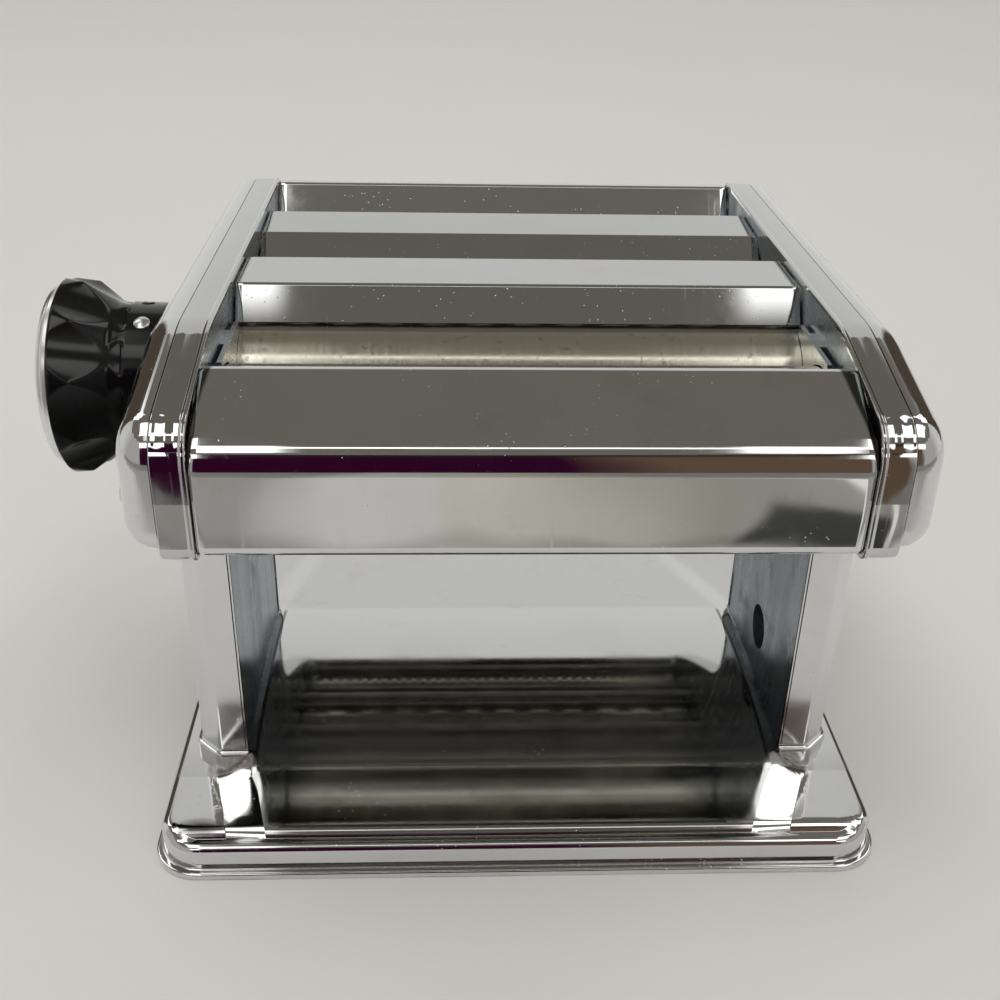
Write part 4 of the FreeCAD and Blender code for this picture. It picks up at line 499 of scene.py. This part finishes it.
def spun_cap():
    f = new_finish("spun_cap")
    place = f.place()
    y, z = f.axis(place, "Y"), f.axis(place, "Z") - AXIS_Z * MM
    radius = (y * y + z * z) ** 0.5
    ring = f.node("ShaderNodeTexNoise", {"noise_dimensions": "1D"},
                  {"W": radius, "Scale": 2600.0, "Detail": 3.0})
    smudge = f.noise(place, 120.0, 4.0).over(0.5, 0.8)
    return f.set(Base_Color=f.mix(smudge * 0.4, (0.68, 0.68, 0.67), (0.52, 0.51, 0.49)),
                 Roughness=0.2 + ring * 0.14, Metallic=1.0, Normal=f.bump(ring, 0.02))


def pad_rubber():
    f = new_finish("pad_rubber")
    grain = f.noise(f.place(), 700.0, 4.0)
    return f.set(Base_Color=f.mix(grain, (0.018, 0.018, 0.018), (0.034, 0.033, 0.032)),
                 Roughness=0.6 + grain * 0.2, Normal=f.bump(grain, 0.03))


black, cap_metal, rubber = knob_plastic(), spun_cap(), pad_rubber()

# %% [markdown]
# ## Dressing the machine's own parts
# Small turned and flat parts are right as they come from the model, so they only get their finish. Each
# part's slot in the record says what it is made of; the ones deep under the covers get the dark cut steel
# instead, as painted shade for where they sit, with grime.

# %% Finishes for the model's parts
BY_SLOT = {"chrome": rim_chrome, "zinc": zinc, "roller": nickel, "gear_steel": cut_steel, "bronze": bronze,
           "bright_steel": bright_steel, "knob_black": black, "cap_silver": cap_metal, "rubber": rubber}
slots = {part["node"]: part["material_slot"] for part in frame["record"]["subparts"]}
# painted shade: parts deep under the covers take the dark cut steel, as they sit in shade
SHADED_DEEP_PARTS = ("scraper", "comb", "carriage", "tie_rod")
for name, part in frame["nodes"].items():
    dull = any(word in name for word in SHADED_DEEP_PARTS)
    part.data.materials.clear()
    part.data.materials.append(cut_steel if dull else BY_SLOT[slots[name]])
print("dressed", len(slots), "parts from", len(BY_SLOT), "slots")

# %% [markdown]
# ## Softened sections
# A pressed edge is never sharp. A section is a list of rings, one for each corner; each inner corner is
# replaced by a short curve that starts and ends a little way along its neighbours.


# %% Soft section
def soften(rings, reach, steps=5):
    """Rings with their section's corners rounded.

    At corner P with neighbours A and B the curve is (1-t)^2 (P + r a) + 2 t (1-t) P + t^2 (P + r b),
    a and b being the unit directions to A and B, and r the reach, at most 0.45 of either run."""
    rows = np.asarray(rings, float)
    out = [rows[:1]]
    back, on = rows[:-2] - rows[1:-1], rows[2:] - rows[1:-1]
    back_length, on_length = np.linalg.norm(back, axis=2), np.linalg.norm(on, axis=2)
    limit = 0.45 * np.minimum(back_length, on_length)
    r = np.minimum(np.asarray(reach, float).reshape(-1, 1) * np.ones_like(limit), limit)
    a = rows[1:-1] + back * (r / np.maximum(back_length, 1e-9))[..., None]
    b = rows[1:-1] + on * (r / np.maximum(on_length, 1e-9))[..., None]
    t = np.linspace(0, 1, steps + 1)[None, :, None, None]
    p = rows[1:-1][:, None]
    curve = (1 - t) ** 2 * a[:, None] + 2 * t * (1 - t) * p + t ** 2 * b[:, None]
    out += [curve.reshape(-1, *rows.shape[1:]), rows[-1:]]
    return np.concatenate(out)


# %% [markdown]
# ## Pans
# The rim and the side cover on each side are pans: an outline in side view, a rolled edge, a rounded
# shoulder and a flat wall with holes. One helper makes both, from the inside and the outside of the wall.


# %% Pan builder
BEND_STEPS = 18


def pan(name, side, outline, outer, inner, holes, reach, steps=BEND_STEPS):
    """A pan lying across X. outer and inner are rows (x, inset): the outline moved inwards by inset at x,
    from the open edge to the flat wall; holes (y, z, radius) go through the wall."""
    piece = Piece(name)
    outside = soften([at_x(rounded_path(outline, inset, steps=steps), side * x) for x, inset in outer], reach)
    inside = np.array([at_x(rounded_path(outline, inset, steps=steps), side * x) for x, inset in inner])
    piece.rings(outside).rings(inside).rings([outside[0], inside[0]])
    bores = [circle(y, z, radius) for y, z, radius in holes]
    x_out, x_in = side * outer[-1][0], side * inner[-1][0]
    piece.wall([outside[-1]] + [at_x(bore, x_out) for bore in bores])
    piece.wall([inside[-1]] + [at_x(bore, x_in) for bore in bores])
    for bore in bores:
        piece.rings([at_x(bore, x_out), at_x(bore, x_in)])
    return piece


def shoulder(x_end, radius, steps=BEND_STEPS):
    """Rows (x, inset) of a quarter turn: x = x_end - radius (1 - sin t), inset = radius (1 - cos t)."""
    t = np.linspace(0, np.pi / 2, steps + 1)
    return list(zip(x_end - radius * (1 - np.sin(t)), radius * (1 - np.cos(t))))


# %% Rims and side covers
RIM = [(-37, 13.9), (-37, 100, 9), (-73.2, 100, 5), (-73.2, 133.4, 11), (-30, 143, 44), (115, 143, 7),
       (115, 88, 5), (37, 56, 18), (37, 13.9)]
COVER = [(-72.8, 102, 7.5), (-72.8, 133.2, 11), (-30, 142.6, 44), (114.6, 142.6, 7), (114.6, 102, 7.5)]
CRANKED = [(-29, 116.5), (35, 119.5), (81.5, 119.5)]
COVER_SCREWS = [(-61, 113), (91.5, 131.4)]

for side, word in ((1, "right"), (-1, "left")):
    axles = [(y, z, 6.5) for y, z in CRANKED] if side > 0 else [(0, AXIS_Z, 6.0)]
    rim_rows = [(76.95, 1.0), (76.95, 0.0), (77.9, 0.0), (78.3, 0.3), (80.2, 0.2), (82.6, 0.2), (84.95, 0.32),
                (84.95, 1.3)]
    pan(word + "_rim", side, RIM, rim_rows, [(76.95, 1.15), (83.95, 1.3)], axles, reach=[
        [0.4], [0.3], [0.3], [0.9], [0.9], [0.3]]).make(
        rim_chrome, stands_for=[word + "_rim_shell"])
    axles = [(y, z, 7.9) for y, z in CRANKED] if side > 0 else [(0, AXIS_Z, 6.6)]
    screws = [(y, z, 2.1) for y, z in COVER_SCREWS]
    cover = pan(word + "_cover", side, COVER, [(85.05, 0.0), (85.5, 0.0)] + shoulder(93.45, 7.5),
                [(85.05, 1.0)] + [(x - 1, e + 1) for x, e in shoulder(93.45, 6.5)[1:]], axles + screws, reach=0.1)
    cover.make(shell_chrome, stands_for=[word + "_side_cover"])

# %% [markdown]
# ## Legs
# The outside of each leg is the lower part of the rim's pressing: a channel with slanted corners, flared
# where it meets the head, and turned out into a small flange where it stands on the base. Its plan is one
# path; every row of the leg is that path, moved outwards by as much as the flare or flange needs there.


# %% Legs
def leg(side, word, hole):
    """Rows over height z of the plan moved out by outset(z); the flat side of the right leg has a hole."""
    plan = [(76.95, -37), (85, -37, 2.4), (91, -31, 2.8), (91, 31, 2.8), (85, 37, 2.4), (76.95, 37)]
    t = np.linspace(0, np.pi / 2, 7)
    foot = [(11.3, 1.35), (14.7, 1.35), (15.1, 1.25), (15.35, 1.15)]
    foot += [(15.4 + 1.1 * (1 - math.cos(a)), 1.1 * (1 - math.sin(a))) for a in t]
    flare = [(101.9 - 4.5 * math.cos(a), 4.5 * (1 - math.sin(a))) for a in t[::-1]]
    levels = foot + [(20.0, 0.0), (96.0, 0.0)] + flare
    piece, clamp_bore = Piece(word + "_leg"), circle(0, 32.4, 7.0)

    def row(z, outset, wall=0.0):
        path = rounded_path(plan, wall - outset, closed=False, steps=6)
        return at_z(path * [side, 1], z)

    shut, first, last = len(foot), 3 * 7 - 1, 3 * 7
    for wall in (0.0, 1.0):
        rows = np.array([row(z, outset, wall) for z, outset in levels])
        piece.rings(rows[:shut + 1], wrap=False).rings(rows[shut + 1:], wrap=False)
        middle = rows[shut:shut + 2]
        piece.rings(middle[:, :first + 1], wrap=False).rings(middle[:, last:], wrap=False)
        panel = [middle[0, first], middle[0, last], middle[1, last], middle[1, first]]
        x = side * (91.0 - wall)
        piece.wall([panel] + ([at_x(clamp_bore, x)] if hole else []))
    for z, outset in (levels[0], levels[-1]):
        piece.rings([row(z, outset), row(z, outset, 1.0)], wrap=False)
    for end in (0, -1):
        piece.rings([[row(z, outset)[end] for z, outset in levels],
                     [row(z, outset, 1.0)[end] for z, outset in levels]], wrap=False)
    if hole:
        piece.rings([at_x(clamp_bore, side * 91.0), at_x(clamp_bore, side * 90.0)])
    return piece


for side, word in ((1, "right"), (-1, "left")):
    leg(side, word, side > 0).make(leg_chrome, stands_for=[word + "_leg_shell"])

# %% [markdown]
# ## Bent covers
# The front cover, the two ridges over the rollers and the rear cover are strips of sheet bent to a profile
# and carried straight across from plate to plate. The profile is the path and the same path a wall
# further in, joined at the ends.


# %% Bent covers
def bent(name, corners, ends, wall=0.8, steps=14):
    """A closed profile (path out, inset path back) carried along X. ends are rows (x, inset) from the
    middle outwards: towards each end the whole profile is drawn in by inset, as a pressed end is."""
    def profile(inset, x):
        out = rounded_path(corners, inset, closed=False, steps=steps)
        back = rounded_path(corners, inset + wall, closed=False, steps=steps)[::-1]
        return at_x(np.concatenate([out, back]), x)

    rows = [profile(inset, -x) for x, inset in ends[::-1]] + [profile(inset, x) for x, inset in ends]
    return Piece(name).rings(rows).wall([rows[0]]).wall([rows[-1]])


FRONT = [(-41.5, 131.0), (-46.5, 140.0, 3.6), (-72.2, 128.4, 9), (-72.2, 101.6, 3.2), (-68.2, 101.6)]
RIDGE = [(39, 132.6), (29.8, 140.5, 1.6), (7, 140.5, 1.6), (0.9, 131.6)]
BACK_RIDGE = [(86.7, 132.6), (80.1, 139.7, 1.6), (60.8, 138.5, 1.6), (51, 132.6)]
BACK = [(110.6, 90), (114.6, 90, 1.6), (114.6, 141.6, 3.5), (108.4, 141.6, 1.6), (102.6, 133)]
ROLLED = [(60, 0.0), (74.6, 0.0), (75.8, 0.06), (76.5, 0.22), (76.9, 0.5)]
PLAIN = [(60, 0.0), (74.5, 0.0), (76.0, 0.05), (76.7, 0.2)]
bent("front_shell", FRONT, ROLLED).make(cover_chrome, stands_for=["front_cover"], bevel=0.25)
bent("front_ridge_shell", RIDGE, PLAIN).make(ridge_chrome, stands_for=["front_ridge"], bevel=0.25)
bent("rear_ridge_shell", BACK_RIDGE, PLAIN).make(ridge_chrome, stands_for=["rear_ridge"], bevel=0.25)
bent("rear_shell", BACK, PLAIN).make(cover_chrome, stands_for=["rear_cover"], bevel=0.25)


# %% [markdown]
# ## Base
# The base is one pressing: a lip on the table, an upright wall with a rounded edge, nearly flat sides, and
# between the legs a crown that slopes down to the rim in front and behind and meets the sides by a fold.
# Every ring has the same number of points, and inside the rim the height is a function of x and y.


# %% Base
CROWN_FRONT, CROWN_REAR, CROWN_RISE = -43.0, 36.5, 3.9
FLAT_Z, SIDE_Z, RIM_Z = 15.1, 11.7, 9.3
FRONT_REACH, REAR_REACH = 22.4, 44.9
FOLD_RIGHT, FOLD_LEFT, FOLD_WIDTH = (72.8, 0.42), (74.6, 0.26), (11.2, 0.06)


def base_ring(half, front, rear, corner, arc=8, runs=(128, 84)):
    """A rounded rectangle in plan, its arcs joined by runs of evenly spaced points."""
    path = rounded_path([(-half, -front, corner), (half, -front, corner), (half, rear, corner),
                         (-half, rear, corner)], steps=arc).reshape(4, arc + 1, 2)
    parts = []
    for number in range(4):
        share = np.linspace(0, 1, runs[number % 2] + 1, endpoint=False)[1:, None]
        start, end = path[number, -1], path[(number + 1) % 4, 0]
        parts += [path[number], start + (end - start) * share]
    return np.concatenate(parts)


def smooth(value, low, high):
    """0 at low, 1 at high, with the slope 3 t^2 - 2 t^3 between."""
    t = np.clip((value - low) / (high - low), 0, 1)
    return t * t * (3 - 2 * t)


def falling(distance, flat, tilt, reach, bend=2.8):
    """Height at a distance from the crease: an even slope, then a bend down to the rim.

    With u = (reach - distance) / bend the bend is z = rim + (2h - g) u + (g - h) u^2. It meets the slope at
    u = 1, where its height is h above the rim and its slope g / bend is the same."""
    edge = flat - (reach - bend) * tilt
    h, g = edge - RIM_Z, bend * tilt
    u = np.clip((reach - distance) / bend, 0, 1)
    return np.where(distance < reach - bend, flat - distance * tilt, RIM_Z + (2 * h - g) * u + (g - h) * u * u)


def side_height(y):
    """Height of the sides of the top: level between the creases, and down to the rim in front and behind."""
    before, behind = np.maximum(CROWN_FRONT - y, 0), np.maximum(y - CROWN_REAR, 0)
    return np.where(before > 0, falling(before, SIDE_Z, 0.012, FRONT_REACH),
                    falling(behind, SIDE_Z, 0.01, REAR_REACH))


def top_height(x, y):
    """Height of the base's top, in three parts.

    Middle: an arch z = z0 + sqrt(R^2 - (y - c)^2) - (R - rise) between the creases, falling to the rim in
    front of and behind them, with a fine raised line on the front crease. Sides: nearly level and 3.4 mm
    lower. A fold 11 mm wide, that draws in towards the rim, leads from one to the other."""
    middle, reach = (CROWN_FRONT + CROWN_REAR) / 2, (CROWN_REAR - CROWN_FRONT) / 2
    radius = (reach ** 2 + CROWN_RISE ** 2) / (2 * CROWN_RISE)
    arch = FLAT_Z + np.sqrt(np.maximum(radius ** 2 - (y - middle) ** 2, 0)) - (radius - CROWN_RISE)
    before, behind = np.maximum(CROWN_FRONT - y, 0), np.maximum(y - CROWN_REAR, 0)
    high = np.where(before > 0, falling(before, FLAT_Z, 0.19, FRONT_REACH),
                    np.where(behind > 0, falling(behind, FLAT_Z, 0.04, REAR_REACH), arch))
    high = high + 0.12 * np.exp(-((y - CROWN_FRONT) / 0.6) ** 2)
    away = before + behind
    start = np.where(x > 0, FOLD_RIGHT[0] - FOLD_RIGHT[1] * away, FOLD_LEFT[0] - FOLD_LEFT[1] * away)
    fold = np.clip((np.abs(x) - start) / (FOLD_WIDTH[0] - FOLD_WIDTH[1] * away), 0, 1)
    fold = 0.8 * fold + 0.2 * smooth(fold, 0, 1)
    low = side_height(y)
    return low + (high - low) * (1 - fold)


def base_rows():
    """Rings from the lip up the wall, round its edge, then ever smaller rings over the top, the last one
    drawn into a line. The edge is a quarter turn of 2.4 mm up to the height of the sides or the rim."""
    def inset(amount, z):
        return at_z(base_ring(100.0 - amount, 71.0 - amount, 87.0 - amount, max(13.0 - amount, 0.02)), z)

    section = list(soften([inset(0, 0.0), inset(0, 1.9), inset(2.2, 1.9), inset(2.2, 6.0)], [0.8, 0.5], steps=6))
    for t in np.linspace(0, np.pi / 2, 11):
        ring = inset(2.2 + 2.4 * (1 - math.cos(t)), 0.0)
        ring[:, 2] = side_height(ring[:, 1]) - 2.4 * (1 - math.sin(t))
        section.append(ring)
    steps = np.concatenate([np.linspace(0, 1, 9)[:-1] ** 1.6 * 3, np.linspace(3, 73.2, 72)])
    top = []
    for amount in steps:
        ring = base_ring(94.4 - amount, 65.4 - amount, 81.4 - amount, max(7.4 - amount, 0.02))
        if amount == steps[-1]:
            ring[:, 1] = 8.0
        top.append(np.column_stack([ring, top_height(ring[:, 0], ring[:, 1])]))
    return np.array(section + top)


Piece("base_shell").rings(base_rows()).make(
    base_chrome, stands_for=["base_plate"], facing=(0, 0, 1), sheet=0.9, sharp=60)


# %% [markdown]
# ## Rollers
# The two smooth rollers are drums about 29 mm across. The model's own rollers carry their journals and
# crank socket; a thin round skin over each drum gives it a true circle for the light to run along.


# %% Roller skins
def drum(name, place, radius, half):
    """A surface of revolution about X: rows (x, r) turned once round the axis at y = place."""
    turns = np.linspace(0, 2 * np.pi, 180, endpoint=False)
    section = [(-half, radius - 2), (-half, radius - 0.4), (-half + 0.4, radius), (half - 0.4, radius),
               (half, radius - 0.4), (half, radius - 2), (-half, radius - 2)]
    return Piece(name).rings([np.column_stack([np.full(180, x), place + r * np.cos(turns),
                                               AXIS_Z + r * np.sin(turns)]) for x, r in section])


drum("front_roller_skin", -29.0, 14.33, 76.45).make(nickel, "front_roller", "roller")
drum("rear_roller_skin", 0.0, 14.33, 76.45).make(nickel, "rear_roller", "roller")


# %% [markdown]
# ## Knob
# The knob is moulded black: a numbered neck, a flare and a rim with ten shallow scallops. It is a turned
# profile whose radius is cut back, softly, by ten leaning cylinders set round the rim.


# %% Knob
KNOB_PROFILE = [(99.5, 5.0), (99.5, 15.5), (94.2, 15.5), (94.2, 19.6, 0.8), (107.3, 20.0, 3.0), (115.0, 26.45, 1.2),
                (121.0, 26.45, 1.0), (121.0, 8.2), (103.0, 8.2), (103.0, 5.0)]
SCALLOP_RADIUS, SCALLOP_END, SCALLOP_LEAN = 17.0, 121.5, 0.42


def knob_surface():
    """r(s, a) = softmin(profile r, C cos a - sqrt(R^2 - C^2 sin^2 a)): C(s) is the distance of a scallop's
    cylinder from the axis and R its radius; softmin(p, q) = -k ln(exp(-p/k) + exp(-q/k))."""
    path = rounded_path(KNOB_PROFILE, closed=True, steps=6)
    path = np.concatenate([path, path[:1]])
    along = np.concatenate([[0], np.cumsum(np.linalg.norm(np.diff(path, axis=0), axis=1))])
    even = np.unique(np.concatenate([along, np.arange(0, along[-1], 0.7)]).round(4))
    s, profile = np.interp(even, along, path[:, 0]), np.interp(even, along, path[:, 1])
    turns = np.linspace(0, 2 * np.pi, 400, endpoint=False)
    near = (turns + math.pi / 10) % (math.pi / 5) - math.pi / 10
    reach = (26.45 - 0.5 + SCALLOP_RADIUS - (SCALLOP_END - s) * SCALLOP_LEAN)[:, None]
    cut = reach * np.cos(near) - np.sqrt(np.maximum(SCALLOP_RADIUS ** 2 - (reach * np.sin(near)) ** 2, 0.01))
    soft = 0.22
    both = -soft * np.logaddexp(-profile[:, None] / soft, -cut / soft)
    outer = (s[:, None] > 104.0) & (profile[:, None] > 15.0)
    radius = np.where(outer, both, profile[:, None])
    return np.stack([-s[:, None] * np.ones_like(radius), radius * np.cos(turns), AXIS_Z + radius * np.sin(turns)], -1)


Piece("knob_shell").rings(knob_surface()).make(black, "knob", "knob_black", stands_for=["knob"], sharp=50)


# %% Cap, numbers and dot
def cap_rows():
    """Rings of a turned disc: a low step near its edge, and a face domed by 0.15 (r / 22.8)^2."""
    s = [(120.5, 0.1), (120.5, 24.6), (122.2, 24.6), (122.6, 24.4), (122.8, 24.0), (123.2, 23.9), (123.7, 23.7),
         (124.0, 23.3)]
    r = np.linspace(22.8, 0.02, 26)
    s += list(zip(124.3 - 0.15 * (r / 22.8) ** 2, r))
    turns = np.linspace(0, 2 * np.pi, 200, endpoint=False)
    return [np.column_stack([np.full(200, -x), radius * np.cos(turns), AXIS_Z + radius * np.sin(turns)])
            for x, radius in s]


Piece("cap_shell").rings(cap_rows()).make(cap_metal, "knob", "cap_silver", stands_for=["knob_cap"], sharp=40)


def number_on_neck(text, turn):
    """Text bent round the neck: a letter's x becomes an angle, its y a place along the axis, its depth
    a little more radius."""
    curve = bpy.data.curves.new("number_" + text, "FONT")
    curve.body, curve.size, curve.extrude, curve.align_x = text, 4.6, 0.25, "CENTER"
    holder = bpy.data.objects.new("holder", curve)
    mesh = bpy.data.meshes.new_from_object(holder)
    place = np.empty(len(mesh.vertices) * 3)
    mesh.vertices.foreach_get("co", place)
    place = place.reshape(-1, 3)
    angle = turn + place[:, 0] / 19.7
    radius = 19.75 + place[:, 2]
    bent_place = np.column_stack([-(98.0 + place[:, 1]), radius * np.cos(angle), AXIS_Z + radius * np.sin(angle)])
    mesh.vertices.foreach_set("co", (bent_place * MM).ravel())
    mesh.update()
    bpy.data.objects.remove(holder)
    mesh.materials.append(black)
    piece = bpy.data.objects.new("knob_number_" + text, mesh)
    bpy.context.scene.collection.objects.link(piece)
    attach(piece, "knob")
    return piece


def dot_rows(centre=(-99.2, -8.1, 134.6), radius=2.1):
    """A shallow dome on the neck: rings of radius q * radius about the way out, raised by 0.5 (1 - q^2)."""
    out = np.array([0, centre[1], centre[2] - AXIS_Z]) / math.hypot(centre[1], centre[2] - AXIS_Z)
    along, round_neck = np.array([1.0, 0, 0]), np.cross(out, [1.0, 0, 0])
    turns = np.linspace(0, 2 * np.pi, 40, endpoint=False)[:, None]
    rows = [(1.0, -1.2)] + [(q, 0.1) for q in (1.0, 0.9, 0.7, 0.4, 0.02)]
    return [np.array(centre) + q * radius * (np.cos(turns) * along + np.sin(turns) * round_neck)
            + out * (rise + 0.5 * (1 - q * q)) for q, rise in rows]


Piece("knob_dot").rings(dot_rows()).make(cap_metal, "knob", "cap_silver", facing=(0, -0.41, 0.91))

for number in range(9):
    number_on_neck(str(number + 1), math.pi - 0.45 + number * math.radians(36))

# %% [markdown]
# ## Table and room
# The table is a wide pale sheet. The room is painted on the sky by direction, because a mirror shows all of
# it: a pale wall behind with a brown opening and a bright window at each side, a grey ceiling, lamps
# overhead, and a dark shape that stands before the machine.


# %% Table
def between(value, low, high, soft):
    """1 where value lies from low to high, falling to 0 over soft on each side."""
    return value.over(low - soft, low + soft) * (1 - value.over(high - soft, high + soft))


def table_finish():
    """Pale and plain to the eye. The polished front also sees the table where the viewer stands, with a
    cream sheet and a dark green patch lying there, painted shade at the sides and a painted shadow where
    the viewer stands, a painted bright streak, and a lighter stretch painted close to the machine: those
    only show in reflections."""
    f = new_finish("table_white")
    place = f.place()
    plain = f.mix(f.noise(place, 3.0, 3.0), (0.688, 0.671, 0.645), (0.722, 0.705, 0.678))
    ripple = (f.noise(place, 12.0, 1.0) - 0.5) * 0.05
    x, y = f.axis(place, "X") + ripple, f.axis(place, "Y") + ripple
    # painted shade: the reflected table darkens to the left
    shade = f.mix((0 - x).over(0.07, 0.105), (0.80, 0.795, 0.80), (0.44, 0.435, 0.42))
    bend = (f.noise(place, 5.5, 0.0) - 0.5) * 0.09
    shade = f.mix(between(x + bend, -0.037, 0.088, 0.004), shade, (0.78, 0.76, 0.68))
    # painted shade: the reflected table darkens to a brown grey towards the right
    shade = f.mix(x.over(-0.005, 0.095) * 0.62, shade, (0.20, 0.185, 0.15))
    leaf = x + y * 0.4 + (y + 0.265) * (y + 0.265) * 12
    shade = f.mix(between(leaf, 0.006, 0.056, 0.003) * between(y - x * 0.25, -0.315, -0.262, 0.003), shade,
                  (0.035, 0.04, 0.032))
    # painted highlight: a bright streak, brighter than white
    shade = f.mix(between(leaf, 0.058, 0.070, 0.002), shade, (1.2, 1.2, 1.17))
    # painted shadow of the viewer, across the table before the machine
    shade = f.mix(between(y, -0.37, -0.251, 0.006), f.mix(0.62, (0, 0, 0), shade), shade)
    # painted light: close to the machine the reflected table is plain and lighter
    mirrored = f.mix(y.over(-0.246, -0.233), shade, (0.84, 0.835, 0.83))
    shiny = f.node("ShaderNodeLightPath", output="Is Glossy Ray")
    return f.set(Base_Color=f.mix(shiny, plain, mirrored), Roughness=0.55)


table_mesh = bpy.data.meshes.new("table")
table_mesh.from_pydata([(-3, -0.95, 0), (3, -0.95, 0), (3, 3.4, 0), (-3, 3.4, 0)], [], [(0, 1, 2, 3)])
table_mesh.materials.append(table_finish())
table = bpy.data.objects.new("table", table_mesh)
bpy.context.scene.collection.objects.link(table)

# %% Room
room = Finish(bpy.data.worlds.new("room"))
bpy.context.scene.world = room.owner
look = room.node("ShaderNodeTexCoord", output="Generated")
x, y, z = (room.axis(look, name) for name in "XYZ")


def turn(operation, *values):
    """An angle of the direction looked in, in degrees."""
    return room.node("ShaderNodeMath", {"operation": operation}, dict(enumerate(values))) * (180 / math.pi)


def away(value):
    return room.node("ShaderNodeMath", {"operation": "ABSOLUTE"}, {0: value})


WINDOW, LAMP = (2.2, 2.2, 2.2), (2.6, 2.6, 2.55)
height = turn("ARCSINE", z)
front = turn("ARCTAN2", x, 0 - y)
rear = away(turn("ARCTAN2", x, y) - 3.5)
overhead = turn("ARCTAN2", 0 - y, z)
across = away(x - 0.045)

wall = room.mix(y.over(-0.3, 0.1), (0.50, 0.495, 0.48), room.mix(height.over(15, 45), (0.80, 0.80, 0.785),
                                                                (0.71, 0.705, 0.69)))
edge_on = away(x - 0.05).over(0.265, 0.295) * 3.6
light = room.mix((height + x * 2 + edge_on).over(44.2, 45.0), wall, (0.19, 0.18, 0.155))
light = room.mix(between(rear, 29, 62, 2) * between(height, -6, 39, 1.5), light, (0.09, 0.07, 0.05))
light = room.mix(between(rear, 34, 62, 1) * between(height, 38, 56, 0.8), light, WINDOW)
person = room.mix(front.over(6, 11), (0.035, 0.003, 0.022), (0.15, 0.10, 0.067))
person = room.mix(height.over(34, 42), person, (0.03, 0.02, 0.022))
light = room.mix(between(front, -24, 28, 2) * between(height, -13, 44, 1.5), light, person)
light = room.mix(between(overhead, 24.6, 28.2, 0.6) * between(across, -1, 0.5, 0.02), light, (2.6, 2.6, 2.5))
light = room.mix(between(overhead, 21, 41, 0.8) * between(away(x - 0.05), 0.185, 0.285, 0.01), light, LAMP)
light = room.mix((between(overhead, -5, 27, 1.5) + between(overhead, 46, 57, 1.5))
                 * between(away(x - 0.0665), 0.275, 0.5, 0.006), light, LAMP)
seen = room.node("ShaderNodeLightPath", output="Is Camera Ray")
room.set(Color=room.mix(seen, light, (0.70, 0.695, 0.68)), Strength=1.0)

# %% Lamp
lamp = bpy.data.objects.new("ceiling_lamp", bpy.data.lights.new("ceiling_lamp", "AREA"))
lamp.data.shape, lamp.data.size, lamp.data.energy = "DISK", 1.4, 14.0
lamp.location = (-0.3, -0.2, 2.2)
lamp.visible_glossy = False
bpy.context.scene.collection.objects.link(lamp)

# %% View transform
bpy.context.scene.view_settings.view_transform = "Standard"
